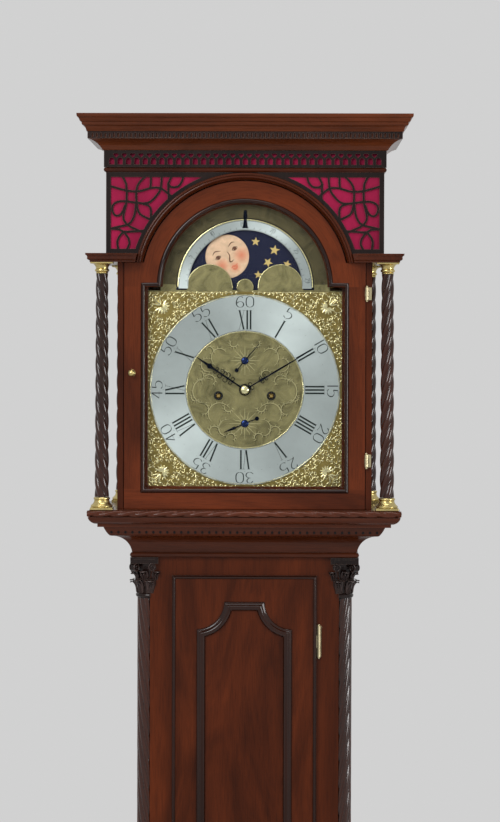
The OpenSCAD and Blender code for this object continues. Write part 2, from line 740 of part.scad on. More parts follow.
module cornice_dentils() {
  x = frieze_x + dentil_out;
  y = frieze_y - dentil_out;
  side = (hood_back - y - 3.4) / 2;
  color("#2c1610") translate([0, 0, dentil_z]) {
    slab([y, y + 3.3]) niches(x);
    both_sides() translate([0, (hood_back + y + 3.4) / 2, 0]) cheek_slab([x - 3.3, x]) niches(side);
  }
}

module hood_top_board() {
  color("#6b4526") block([-upper_x + board_joint, upper_x - board_joint], [hood_y + board_joint, hood_back], [cornice_z, cornice_z + 12]);
}

// Whole columns stand free at the front, and the back ones are let against the hood's sides
column_places = [[frieze_x + 6, frieze_y - 6], [hood_x + 3, hood_back - 20]];
column_z = [door_z + column_base_h, ent_z - cap_h];

module twisted_column(h, hand) {
  n = 16;
  rings = round(h / 12.5);
  pts = [for (i = [0:rings], k = [0:n - 1])
    let (t = i / rings, a = 360 * k / n + hand * 360 * t * h / twist_lead,
      r = (column_r + (column_top_r - column_r) * t) - strand_deep * (1 - abs(cos(720 * k / n))))
    [r * cos(a), r * sin(a), h * t]];
  polyhedron(pts, concat([[for (k = [0:n - 1]) k]], [[for (k = [n - 1:-1:0]) rings * n + k]],
    [for (i = [0:rings - 1], k = [0:n - 1]) let (a = i * n + k, b = i * n + (k + 1) % n) each [[a, a + n, b], [b, a + n, b + n]]]));
}

module hood_columns() {
  color("#4a2a18") at_columns() translate([0, 0, column_z[0] + board_joint])
    twisted_column(column_z[1] - column_z[0] - 2 * board_joint, 1);
}

module at_columns() {
  both_sides() difference() {
    for (p = column_places) translate([p[0], p[1], 0]) children();
    block([0, hood_x + board_joint], [0, hood_back + 30], [door_z - 1, ent_z + 1]);
  }
}

module hood_column_brasses() {
  b = column_base_h;
  c = cap_h;
  r = column_top_r;
  plate = column_r + 6.6;
  color("#b08d3a") at_columns() {
    translate([-plate, -plate, door_z]) cube([2 * plate, 2 * plate, 3.6]);
    translate([0, 0, door_z]) rotate_extrude() polygon(concat([[0, 3.5], [plate - 1.2, 3.5]],
      arc(plate - 2.4, 5.7, 2.2, -75, 70, 5), arc(column_r + 9, 15.5, 8.4, 240, 182, 4),
      arc(column_r - 0.6, b - 2.8, 2.3, -75, 80, 5), [[0, b - 0.55]]));
    translate([0, 0, ent_z - c]) rotate_extrude() polygon(concat([[0, 0], [r - 1.2, 0]], arc(r - 1.4, 1.4, 1.4, -80, 90, 4),
      arc(r - 0.8, 5.6, 2.5, -80, 80, 6), arc(r + 8.2, 8.6, 8.2, 180, 97, 6), [[r + 7.6, c - 1.5], [0, c - 1.5]]));
    translate([-r - 8.2, -r - 8.2, ent_z - 2.4]) cube([2 * r + 16.4, 2 * r + 16.4, 2.4 - board_joint]);
  }
}

// Hood door

hood_pin = [door_x + 2, hood_y - 3];
hood_hinges = [door_z + 81, ent_z - 51];
hood_hinge_h = 21;

module hood_hinge_case_leaves() {
  h = hood_hinge_h;
  y = hood_y + 2 - hood_pin[1];
  color("#b08d3a") for (z = hood_hinges) translate([hood_pin[0], hood_pin[1], z]) {
    fixed_knuckles(h);
    block([3.6, hood_x - hood_pin[0] - 1], [y - 1.6, y], [-h / 2, h / 2]);
    for (s = [[-0.5, -0.22], [0.22, 0.5]]) block([1.8, 5], [1, y], h * s);
  }
}

// The arched opening of the door, grown all round
module door_opening(grow) {
  translate([-opening_x - grow, opening_z - grow]) square([2 * (opening_x + grow), arch_z - opening_z + grow]);
  translate([-opening_r - grow, arch_z - 1]) square([2 * (opening_r + grow), 1 + grow]);
  translate([0, arch_z]) circle(opening_r + grow, $fn = 128);
}

glass_y = hood_y + 9;

module hood_door_frame() {
  y = [hood_y, hood_y + door_t];
  color("#6b3218") difference() {
    slab(y) {
      translate([-door_x, door_z + slide_gap]) square([2 * door_x, hood_side_h - 2 * slide_gap]);
      intersection() {
        translate([0, door_arch_z]) circle(door_arch_r, $fn = 128);
        translate([-door_x, arch_z]) square([2 * door_x, door_arch_r + 50]);
      }
    }
    slab([y[0] - 1, y[1] + 1]) door_opening(0);
    for (s = [[7, 2.5], [4.5, 4.5], [2, 6.5]]) slab([y[0] - 1, y[0] + s[1]]) door_opening(s[0]);
    slab([glass_y, y[1] + 1]) door_opening(5);
    for (z = hood_hinges) block([door_x - 1.5, door_x + 1], [y[0] - 1, y[1] - 3], span(z, -hood_hinge_h * 0.2 - 0.1, hood_hinge_h * 0.2 + 0.1));
  }
}

module hood_door_glass() {
  color([0.85, 0.9, 0.9, 0.3]) slab([glass_y, glass_y + glass_t]) door_opening(4.5);
}

module hood_door_knob() {
  r = knob_r;
  color("#b08d3a") translate([-door_x + 13, hood_y, dial_z + 28]) rotate([90, 0, 0]) rotate_extrude()
    polygon(concat([[0, 0], [r, 0], [r, 1.2], [r * 0.5, 2.4], [r * 0.42, 6]], arc(0, 6 + r * 1.1, r, -55, 90, 12)));
}

module hood_door_hinge_leaves() {
  h = hood_hinge_h * 0.4 - 0.3;
  y = hood_y - hood_pin[1];
  color("#b08d3a") for (z = hood_hinges) translate([hood_pin[0], hood_pin[1], z]) turning_knuckle(hood_hinge_h) {
    block([-3.4, -2.05], [1, y + door_t - 4], [-h / 2, h / 2]);
    block([-3.4, -1], [1, 2.9], [-h / 2, h / 2]);
  }
}

// Dial

plate_front = dial_y + dial_t + 27;
plate_back = plate_front + plate_t + plate_gap;
second_z = dial_z + 48.6;
date_z = dial_z - 56.4;
barrel_z = dial_z - 10;
anchor_z = dial_z + 77;
motion_z = dial_z - 32.4;
third = [11.85, dial_z + 26.36];
square_r = 3.5;
thin_r = 1.2;
centre_r = 1.6;
pipe_r = 3.2;
hump_x = 59;
hump_r = 38;

module moon_window(grow) {
  difference() {
    intersection() {
      translate([0, arch_z]) circle(moon_r - 2 + grow, $fn = 128);
      translate([-200, arch_z - arch_rise + 1]) square([400, 200]);
    }
    for (s = [-1, 1]) translate([s * hump_x, arch_z]) circle(hump_r);
    translate([0, arch_z]) circle(14);
  }
}

module dial_plate() {
  y = [dial_y, dial_y + dial_t];
  color("#8f8650") {
    difference() {
      slab(y) difference() {
        union() {
          translate([-dial_w / 2, dial_z - dial_w / 2]) square(dial_w);
          intersection() {
            translate([0, arch_z]) circle(opening_r + 2, $fn = 128);
            translate([-dial_w / 2, dial_z]) square([dial_w, dial_w]);
          }
        }
        moon_window(0);
        translate([0, dial_z]) circle(7);
        translate([0, second_z]) circle(3);
        for (s = [-1, 1]) translate([s * wind_x, barrel_z]) circle(6.5);
      }
      rod_y(0, date_z, 1.5 + run_gap, [y[0] - 1, y[1] + 1]);
    }
    for (s = [-1, 1], z = [dial_z - 56, dial_z + 32]) rod_y(s * 66, z, 3.2, [y[1] - 0.5, plate_front]);
    rod_y(0, arch_z, 3, [y[1] - 0.5, y[1] + 5.2]);
    rod_y(0, arch_z, 5, [y[1] + 4.4, y[1] + 5.6]);
  }
}

module chapter_ring() {
  color("#cdd6d8") slab([dial_y - 2, dial_y]) translate([0, dial_z]) difference() {
    circle(ring_od / 2, $fn = 128);
    circle(ring_id / 2, $fn = 128);
  }
}

// Scrolls of a corner casting, measured in from the dial's corner; each is repeated across the diagonal
corner_scrolls = [
  [[30, 17], [46, 8], [64, 9], [77, 16], [73, 25], [62, 25], [60, 18]],
  [[72, 12], [86, 5], [102, 5.5], [112, 9], [106, 14], [98, 12]],
  [[104, 8], [120, 4.5], [139, 5]],
  [[36, 40], [48, 38], [57, 31], [53, 23], [44, 25]],
  [[24, 18], [15, 8], [6, 5]]
];

module bent_strap(p, w) {
  s = smooth(p, 2);
  polygon(concat([for (i = [0:len(s) - 1]) s[i] + across(s, i) * w / 2 * (1 - 0.5 * i / len(s))],
    [for (i = [len(s) - 1:-1:0]) s[i] - across(s, i) * w / 2 * (1 - 0.5 * i / len(s))]));
}

module corner_casting() {
  c = mask_x + 1;
  difference() {
    translate([0, dial_z]) for (a = [0:90:270]) rotate(a) difference() {
      translate([-c, -c]) {
        for (p = corner_scrolls) {
          bent_strap(p, 6);
          mirror([1, -1]) bent_strap(p, 6);
        }
        translate([29, 29]) circle(13, $fn = 32);
      }
      circle(ring_od / 2 + 1, $fn = 128);
    }
    for (sx = [-1, 1], sz = [-1, 1]) translate([sx * (c - 29), dial_z + sz * (c - 29)]) circle(5, $fn = 24);
  }
}

module dial_spandrels() {
  color("#d8c77a") slab([dial_y - 3, dial_y]) corner_casting();
}

module moon_pointer() {
  color("#1c2340") slab([dial_y - 1.2, dial_y]) translate([0, arch_z])
    polygon([[-4.4, 98], [4.4, 98], [3, 108], [2.2, 112], [3.4, 117], [2.4, 128], [-2.4, 128], [-3.4, 117], [-2.2, 112],
      [-3, 108]]);
}

module moon_disc() {
  n = 118;
  color("#141a3c") slab(span(dial_y + dial_t, 2.5, 4)) translate([0, arch_z]) difference() {
    polygon([for (i = [0:n - 1], k = [0, 1]) let (a = (i + 0.7 * k) * 360 / n, r = moon_r - 1.6 * k) [r * cos(a), r * sin(a)]]);
    circle(3 + run_gap);
  }
}

module date_hand() {
  color("#1c2340") {
    slab(span(dial_y, -2.2, -1.2)) translate([0, date_z]) rotate(-247) {
      circle(3.4);
      polygon([[-1.1, 0], [-0.9, 16], [-2.6, 18], [0, 39], [2.6, 18], [0.9, 16], [1.1, 0]]);
      polygon([[-0.9, 0], [-0.7, -20], [0.7, -20], [0.9, 0]]);
      translate([0, -22]) circle(3.4);
    }
    rod_y(0, date_z, 1.5, span(dial_y, -3, dial_t + 2.6));
    slab(span(dial_y + dial_t, 1, 2.2)) translate([0, date_z])
      polygon([for (i = [0:61]) let (a = i * 360 / 62) each [[17 * cos(a), 17 * sin(a)], [15.4 * cos(a), 15.4 * sin(a)]]]);
  }
}

hour_angle = 304;
minute_angle = 59;
second_angle = 40.6;
hand_t = 1.6;

module hand_at(angle) {
  translate([0, dial_z]) rotate(-angle) children();
}

module minute_hand() {
  l = minute_l;
  color("#1c2340") slab(span(dial_y, -12.2, -(12.2 - hand_t))) hand_at(minute_angle) difference() {
    union() {
      circle(8);
      polygon([[-2.4, 0], [-1.8, 26], [-3.4, 34], [-1.7, 44], [-2.6, 60], [0, l], [2.6, 60], [1.7, 44], [3.4, 34], [1.8, 26], [2.4, 0]]);
      for (s = [-1, 1], q = [[4.6, 15, 4.4], [4.4, 40, 3.6], [3.2, 52, 2.6]]) translate([s * q[0], q[1]]) circle(q[2]);
    }
    circle(2.65);
    for (s = [-1, 1], q = [[4.8, 15, 2.4], [4.6, 40, 1.9]]) translate([s * q[0], q[1]]) circle(q[2]);
  }
}

module hour_hand() {
  l = hour_l;
  color("#1c2340") slab(span(dial_y, -7.4, -(7.4 - hand_t))) hand_at(hour_angle) difference() {
    union() {
      circle(10);
      polygon([[-3, 0], [-2.4, 30], [-3, 62], [-8, 70], [-2.6, 78], [0, l], [2.6, 78], [8, 70], [3, 62], [2.4, 30], [3, 0]]);
      for (s = [-1, 1], q = [[7, 22, 6.6], [10, 37, 7.6], [7, 51, 6.4]]) translate([s * q[0], q[1]]) circle(q[2]);
    }
    circle(4.65);
    for (s = [-1, 1], q = [[7.4, 22, 3.6], [10.6, 37, 4.6], [7.4, 51, 3.4]]) translate([s * q[0], q[1]]) circle(q[2]);
  }
}

module seconds_hand() {
  color("#1c2340") slab(span(dial_y, -4.6, -3.6)) translate([0, second_z]) rotate(-second_angle) difference() {
    union() {
      circle(3.4);
      polygon([[-1.1, 0], [-0.4, 37], [0.4, 37], [1.1, 0], [0.8, -18], [-0.8, -18]]);
      translate([0, -21]) circle(3.4);
    }
    circle(thin_r);
  }
}

// Movement

module wheel(at, turn, n, m, y, bore = 0) {
  r = n * m / 2;
  slab(y) translate(at) rotate(turn) difference() {
    polygon(teeth(n, m));
    if (r > 12) for (a = [0:90:270]) rotate(a + 45) difference() {
      intersection() {
        circle(r - 3.4 * m);
        translate([2.2, 2.2]) square(r);
      }
      circle(r * 0.3);
    }
    if (bore > 0) circle(bore);
  }
}

mesh_centre_third = atan2(third[1] - dial_z, third[0]);
mesh_third_escape = atan2(second_z - third[1], -third[0]);
mesh_great_centre = atan2(dial_z - barrel_z, -wind_x);
great_m = 2 * norm([wind_x, dial_z - barrel_z]) / 104;
centre_m = 2 * norm([third[0], third[1] - dial_z]) / 68;
third_m = 2 * norm([third[0], second_z - third[1]]) / 63;
motion_m = 0.9;
hour_m = 2 * (dial_z - motion_z) / 78;

module movement_frame() {
  bell_z = bell_foot + 36;
  color("#b08d3a") {
    for (y = [plate_front, plate_back]) difference() {
      slab([y, y + plate_t]) translate([-75, seat_z + seat_t]) square([150, 173]);
      for (a = [[0, dial_z, centre_r], [third[0], third[1], thin_r], [0, second_z, thin_r], [0, anchor_z, thin_r],
          [0, motion_z, thin_r], [hammer_x, hammer_z, thin_r], [wind_x, barrel_z, square_r], [-wind_x, barrel_z, square_r]])
        rod_y(a[0], a[1], a[2] + run_gap, [y - 1, y + plate_t + 1]);
    }
    for (s = [-1, 1], a = [[30, seat_z + seat_t + 9], [68, seat_z + seat_t + 164]])
      rod_y(s * a[0], a[1], 4.5, [plate_front + plate_t - 0.5, plate_back + 0.5]);
    block([-8, 8], [plate_back + plate_t - 0.5, pendulum_y + 8], [anchor_z + 2, anchor_z + 10]);
    block([-5, 5], [plate_back, plate_back + plate_t], [anchor_z + 9, bell_z + 4]);
    block([-5, 5], [bell_y - 5, plate_back + plate_t], [bell_z, bell_z + 4]);
  }
}

module arbor(x, z, r, y) {
  rod_y(x, z, r, y);
}

module centre_wheel() {
  c = [0, dial_z];
  back = plate_back + plate_t;
  color("#b08d3a") {
    wheel(c, mesh_centre_third, 60, centre_m, span(plate_back, -6.5, -4.5));
    wheel(c, mesh_great_centre + 180 + 22.5, 8, great_m, span(plate_front + plate_t, 2.5, 8.5));
    wheel(c, -90, 36, motion_m, span(plate_front, -7, -5));
    arbor(0, dial_z, centre_r, [plate_front - 10, back + 1]);
    arbor(0, dial_z, pipe_r, [dial_y - 9, plate_front - 4]);
    arbor(0, dial_z, 2.6, span(dial_y, -14, -8));
    arbor(0, dial_z, 4.4, span(dial_y, -14.6, -12.3));
  }
}

module motion_wheel() {
  c = [0, motion_z];
  color("#b08d3a") {
    wheel(c, 95, 36, motion_m, span(plate_front, -7, -5));
    wheel(c, 90, 6, hour_m, span(plate_front, -12.5, -6.5));
    arbor(0, motion_z, thin_r, [plate_front - 13, plate_front + plate_t + 0.5]);
  }
}

module hour_wheel() {
  c = [0, dial_z];
  color("#b08d3a") difference() {
    union() {
      wheel(c, -90 + 2.5, 72, hour_m, span(plate_front, -11.5, -9.5));
      rod_y(0, dial_z, 4.6, [dial_y - 7.8, plate_front - 8.5]);
      rod_y(0, dial_z, 6.2, span(dial_y, -5.8, -4));
    }
    rod_y(0, dial_z, pipe_r + run_gap, [dial_y - 9, plate_front]);
  }
}

module third_wheel() {
  color("#b08d3a") {
    wheel(third, mesh_third_escape, 56, third_m, span(plate_back, -11.5, -10));
    wheel(third, mesh_centre_third + 180 + 22.5, 8, centre_m, span(plate_back, -7.5, -3.5));
    arbor(third[0], third[1], thin_r, [plate_front - 0.5, plate_back + plate_t + 0.5]);
  }
}

escape_r = 20;

module escape_wheel() {
  n = 30;
  color("#b08d3a") {
    slab(span(plate_back, -18, -16.5)) translate([0, second_z]) difference() {
      polygon([for (i = [0:n - 1], k = [0:2]) let (a = (i + [0, 0.14, 0.7][k]) * 360 / n, r = [escape_r, escape_r, 16.4][k])
        [r * cos(a), r * sin(a)]]);
      for (a = [0:90:270]) rotate(a) difference() {
        intersection() {
          circle(14);
          translate([1.8, 1.8]) square(20);
        }
        circle(5);
      }
    }
    wheel([0, second_z], mesh_third_escape + 180 + 180 / 7, 7, third_m, span(plate_back, -13, -8.5));
    arbor(0, second_z, thin_r, [dial_y - 5.2, plate_back + plate_t + 0.5]);
  }
}

module great_wheel() {
  color("#b08d3a") wheel([wind_x, barrel_z], mesh_great_centre, 96, great_m, span(plate_front + plate_t, 4, 7), square_r + run_gap);
}

barrel_y = [plate_front + plate_t + 16, plate_back - 14];

// A barrel with its line wound on it, on the side s of the middle
module barrel(s) {
  long = barrel_y[1] - barrel_y[0];
  turns = floor((long - 6) / 1.8);
  r = barrel_r;
  translate([s * wind_x, barrel_y[1], barrel_z]) rotate([90, 0, 0]) rotate_extrude() polygon(concat([[1, 0], [r - 0.8, 0]],
    [for (i = [0:turns - 1], k = [0:2]) [r - 0.8 + [0, 0.8, 0.8][k], 3 + (i + [0.05, 0.3, 0.7][k]) * 1.8]],
    [[r - 0.8, 3.1 + turns * 1.8], [r - 0.8, long], [1, long]]));
  rod_y(s * wind_x, barrel_z, square_r, [plate_front - 1, plate_back + plate_t + 0.5]);
  rod_y(s * wind_x, barrel_z, square_r - 0.6, [plate_front - 6, plate_front]);
  slab([dial_y - 1.5, plate_front - 5]) translate([s * wind_x, barrel_z]) square(4.6, center = true);
}

module going_barrel() {
  color("#a98a3f") barrel(1);
}

module strike_barrel() {
  color("#a98a3f") {
    barrel(-1);
    wheel([-wind_x, barrel_z], 0, 96, great_m, span(plate_front + plate_t, 12, 15));
  }
}

pendulum_y = plate_back + plate_t + 27;

module anchor() {
  color("#55585c") {
    slab(span(plate_back, -18.6, -15.9)) difference() {
      union() {
        translate([0, anchor_z]) circle(5);
        translate([0, second_z]) difference() {
          polygon(concat(arc(0, 0, escape_r + 6, 48, 132, 12), arc(0, 0, escape_r + 2, 132, 48, 12)));
        }
        for (a = [50, 130]) translate([0, second_z]) rotate(a) translate([escape_r + 1.1, -1.6]) square([3, 3.2]);
      }
      translate([0, anchor_z]) circle(thin_r - 0.01);
    }
    arbor(0, anchor_z, thin_r, [plate_front - 0.5, pendulum_y - 8]);
    block([-1.5, 1.5], span(pendulum_y, -10, -8), [anchor_z - 90, anchor_z + 1.5]);
    for (s = [-1, 1]) block([-0.8, 0.8] + s * [3.4, 3.4], span(pendulum_y, -9, 4), [anchor_z - 90, anchor_z - 87]);
    block([-4.2, 4.2], span(pendulum_y, -10, -8), [anchor_z - 90, anchor_z - 87]);
  }
}

module pendulum() {
  bob_z = anchor_z - pendulum_l;
  color("#b08d3a") translate([0, pendulum_y, 0]) {
    translate([0, 0, bob_z - bob_r - 22]) cylinder(r = 2.2, h = anchor_z - 24 - bob_z + bob_r + 22);
    block([-5, 5], [-3, 3], [anchor_z - 26, anchor_z - 18]);
    block([-4, 4], [-0.4, 0.4], [anchor_z - 20, anchor_z + 1.7]);
    translate([0, 0, bob_z]) rotate([90, 0, 0]) rotate_extrude()
      polygon([[0, -14], [bob_r - 3, -3.5], [bob_r, -2.4], [bob_r, 2.4], [bob_r - 3, 3.5], [0, 14]]);
    translate([0, 0, bob_z - bob_r - 14]) cylinder(r = 8, h = 6);
  }
}

bell_foot = dial_z + 112;
bell_y = -20;
hammer_x = 52;
hammer_z = dial_z + 67;

module bell() {
  r = bell_r;
  color("#c8b878") translate([0, bell_y, bell_foot]) {
    rotate_extrude() polygon([[r, 0], [r - 2, 12], [r * 0.78, 25], [r * 0.45, 33], [0, 35.9], [0, 33.6], [r * 0.42, 30.8],
      [r * 0.72, 23], [r - 5, 11], [r - 3, 0]]);
  }
}

module bell_hammer() {
  color("#55585c") {
    arbor(hammer_x, hammer_z, thin_r, [plate_front - 0.5, plate_back + plate_t + 0.5]);
    block(span(hammer_x, -4, 2), span(bell_y, -2, 2), [hammer_z - 5, bell_foot + 2]);
    translate([bell_r + 1.5, bell_y, bell_foot + 6]) rotate([0, 90, 0]) cylinder(r = 5, h = 12);
  }
}

// Weights and lines

line_y = 2;
sheave_r = 17;
// Each line leaves its barrel on the left, goes round the pulley and comes back up to the seat board
drop_x = -barrel_r - line_r - 0.4;
function line_x(s) = [s * wind_x + drop_x, s * wind_x + drop_x + 2 * sheave_r];
weight_z = plinth_h + 20;
sheave_z = weight_z + weight_l + 44;

module weight(s) {
  weight_x = s * wind_x + drop_x + sheave_r;
  translate([weight_x, line_y, 0]) {
    translate([0, 0, weight_z]) rotate_extrude() polygon(concat([[0, 0], [weight_r - 3, 0], [weight_r, 3]],
      [[weight_r, weight_l - 6]], arc(weight_r - 6, weight_l - 6, 6, 0, 90, 5), [[0, weight_l]]));
    translate([0, 0, weight_z + weight_l - 1]) cylinder(r = 3, h = 14);
    block([-9, 9], [-7, 7], [weight_z + weight_l + 12, weight_z + weight_l + 16]);
    for (s = [-1, 1]) block([-5, 5], [-0.75, 0.75] + s * [6.25, 6.25], [weight_z + weight_l + 12, sheave_z + 6]);
  }
  difference() {
    rod_y(weight_x, sheave_z, sheave_r + 2, span(line_y, -3.5, 3.5));
    translate([weight_x, line_y, sheave_z]) rotate([90, 0, 0]) rotate_extrude() translate([sheave_r + 1.4, 0]) circle(2.4);
  }
  rod_y(weight_x, sheave_z, 2, span(line_y, -8, 8));
  translate([weight_x, line_y, sheave_z]) rotate([90, 0, 0]) rotate([0, 0, 180])
    rotate_extrude(angle = 180) translate([sheave_r, 0]) circle(line_r, $fn = 16);
}

module going_weight() {
  color("#a98a3f") weight(1);
}

module strike_weight() {
  color("#a98a3f") weight(-1);
}

module line(s) {
  for (x = line_x(s)) translate([x, line_y, sheave_z]) cylinder(r = line_r, h = seat_z + seat_t - sheave_z, $fn = 16);
}

module going_line() {
  color("#c9b98a") line(1);
}

module strike_line() {
  color("#c9b98a") line(-1);
}

module line_uppers() {
  z = seat_z + seat_t;
  color("#c9b98a") for (s = [-1, 1]) {
    translate([line_x(s)[0], line_y, z + 0.1]) cylinder(r = line_r, h = barrel_z - z - 0.1, $fn = 16);
    translate([line_x(s)[1], line_y, z]) cylinder(r = 4.5, h = 3);
    translate([line_x(s)[1], line_y, z + 3]) sphere(2.4);
  }
}

backboard();
base_carcass();
base_panel();
plinth();
base_moulding();
trunk_sides();
trunk_front_frame();
trunk_quarter_columns();
trunk_capitals();
waist_moulding();
seat_board();
trunk_hinge_case_leaves();
trunk_door_board();
trunk_door_mouldings();
trunk_door_brasses();
hood_base_frame();
hood_sides();
hood_side_glass();
hood_mask();
upper_box();
fret_silk();
blind_frets();
hood_mouldings();
cornice();
cornice_dentils();
hood_top_board();
hood_columns();
hood_column_brasses();
hood_hinge_case_leaves();
hood_door_frame();
hood_door_glass();
hood_door_knob();
hood_door_hinge_leaves();
dial_plate();
chapter_ring();
dial_spandrels();
moon_pointer();
moon_disc();
date_hand();
minute_hand();
hour_hand();
seconds_hand();
movement_frame();
centre_wheel();
motion_wheel();
hour_wheel();
third_wheel();
escape_wheel();
great_wheel();
going_barrel();
strike_barrel();
anchor();
pendulum();
bell();
bell_hammer();
going_weight();
strike_weight();
going_line();
strike_line();
line_uppers();
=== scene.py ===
import json
import math
import random

import bpy
from bpy.props import FloatProperty, FloatVectorProperty, PointerProperty
from mathutils import Matrix, Vector


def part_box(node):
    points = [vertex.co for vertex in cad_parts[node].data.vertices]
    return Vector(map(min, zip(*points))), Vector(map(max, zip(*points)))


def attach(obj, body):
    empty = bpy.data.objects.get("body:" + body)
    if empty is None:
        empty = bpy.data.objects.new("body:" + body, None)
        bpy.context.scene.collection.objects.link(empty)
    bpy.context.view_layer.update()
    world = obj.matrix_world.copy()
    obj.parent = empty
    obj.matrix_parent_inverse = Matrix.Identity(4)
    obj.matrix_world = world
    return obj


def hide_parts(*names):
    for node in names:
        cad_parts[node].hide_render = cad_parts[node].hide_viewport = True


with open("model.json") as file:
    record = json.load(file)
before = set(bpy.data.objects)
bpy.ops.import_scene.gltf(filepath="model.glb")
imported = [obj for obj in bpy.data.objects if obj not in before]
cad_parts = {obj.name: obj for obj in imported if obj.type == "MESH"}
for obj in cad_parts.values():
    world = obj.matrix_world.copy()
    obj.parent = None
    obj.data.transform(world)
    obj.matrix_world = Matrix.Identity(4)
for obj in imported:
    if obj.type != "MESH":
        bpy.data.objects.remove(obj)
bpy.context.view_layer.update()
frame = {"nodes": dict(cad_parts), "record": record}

bl_info = {
    "name": "Longcase clock",
    "version": (1, 0, 0),
    "blender": (4, 5, 0),
    "location": "3D View > Sidebar > Clock",
    "description": "Dresses the solids of a longcase clock with carving, engraving, hands and materials",
    "category": "Object",
}

MM = 0.001
PHOTO_SIZE = (500, 822)

# Places of the frame that the pieces below are set out from, in metres
DIAL_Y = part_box("chapter_ring")[0].y
DIAL_CENTRE = (0.0, (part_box("chapter_ring")[0].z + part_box("chapter_ring")[1].z) / 2)
PLATE_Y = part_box("dial_plate")[0].y
SIGHT_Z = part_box("hood_door_glass")[0].z + 0.004
ARCH_CENTRE = (0.0, (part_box("moon_disc")[0].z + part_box("moon_disc")[1].z) / 2)
DOOR_ARCH_R = 0.17


# Properties

def size(name, default, description):
    return FloatProperty(name=name, default=default, unit="LENGTH", precision=4, description=description)


def colour(name, default, description):
    return FloatVectorProperty(name=name, default=default, subtype="COLOR", size=3, min=0, max=1,
                               description=description)


class ClockLook(bpy.types.PropertyGroup):
    trunk_wood: colour("Trunk wood", (0.068, 0.0128, 0.0028), "Dark polished mahogany of the trunk and base")
    hood_wood: colour("Hood wood", (0.092, 0.0178, 0.0045), "Lighter mahogany of the hood door and mask")
    moulding_wood: colour("Moulding wood", (0.06, 0.013, 0.004), "Mahogany of the cornice and mouldings")
    carved_wood: colour("Carved wood", (0.012, 0.006, 0.005), "Almost black mahogany of the carved parts")
    inner_wood: colour("Inner wood", (0.17, 0.09, 0.045), "Unpolished boards inside and behind")
    silk: colour("Silk", (0.3, 0.0085, 0.05), "Crimson silk behind the frets")
    brass: colour("Brass", (0.52, 0.34, 0.11), "Brass castings, hinges and movement")
    gilding: colour("Gilding", (0.98, 0.86, 0.5), "Gilt corner castings of the dial")
    plate_brass: colour("Plate brass", (0.25, 0.215, 0.1), "Olive matted brass of the dial's centre")
    arch_brass: colour("Arch brass", (0.105, 0.085, 0.042), "Darker brass round the moon disc")
    silvering: colour("Silvering", (0.56, 0.6, 0.61), "Silvered chapter ring")
    ink: colour("Wax", (0.008, 0.014, 0.013), "Black wax of the numerals")
    blued: colour("Blued steel", (0.008, 0.011, 0.022), "Blued steel hands")
    moon_sky: colour("Moon sky", (0.004, 0.006, 0.034), "Painted night sky of the moon disc")
    moon_face: colour("Moon face", (0.78, 0.5, 0.33), "Painted face of the moon")
    backdrop: colour("Backdrop", (0.638, 0.638, 0.638), "Pale grey floor and surroundings")
    twist_depth: size("Twist depth", 3.24 * MM, "Depth of the grooves of the hood's twisted columns")
    numeral_rise: size("Numeral rise", 0.12 * MM, "Height of the numerals' wax above the ring")


def look():
    return bpy.context.scene.clock_look


# Making objects

def add_mesh(name, vertices, faces, body, material, smooth=True):
    mesh = bpy.data.meshes.new(name)
    mesh.from_pydata([tuple(v) for v in vertices], [], faces)
    mesh.validate()
    mesh.update()
    obj = bpy.data.objects.new(name, mesh)
    bpy.context.scene.collection.objects.link(obj)
    for polygon in mesh.polygons:
        polygon.use_smooth = smooth
    mesh.materials.append(MATERIALS[material])
    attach(obj, body)
    return obj


FORWARD = Vector((0, -1, 0))
STRAP_SUNK = 0.2 * MM


def shares(steps):
    """Equal steps from 0 to 1."""
    return [i / steps for i in range(steps + 1)]


def turns(steps):
    """Angles in radians that share out a whole turn."""
    return [2 * math.pi * k / steps for k in range(steps)]


def polar(centre, radius, a):
    """A point (x, z) at a distance from a centre, its angle in radians from the right."""
    return (centre[0] + radius * math.cos(a), centre[1] + radius * math.sin(a))


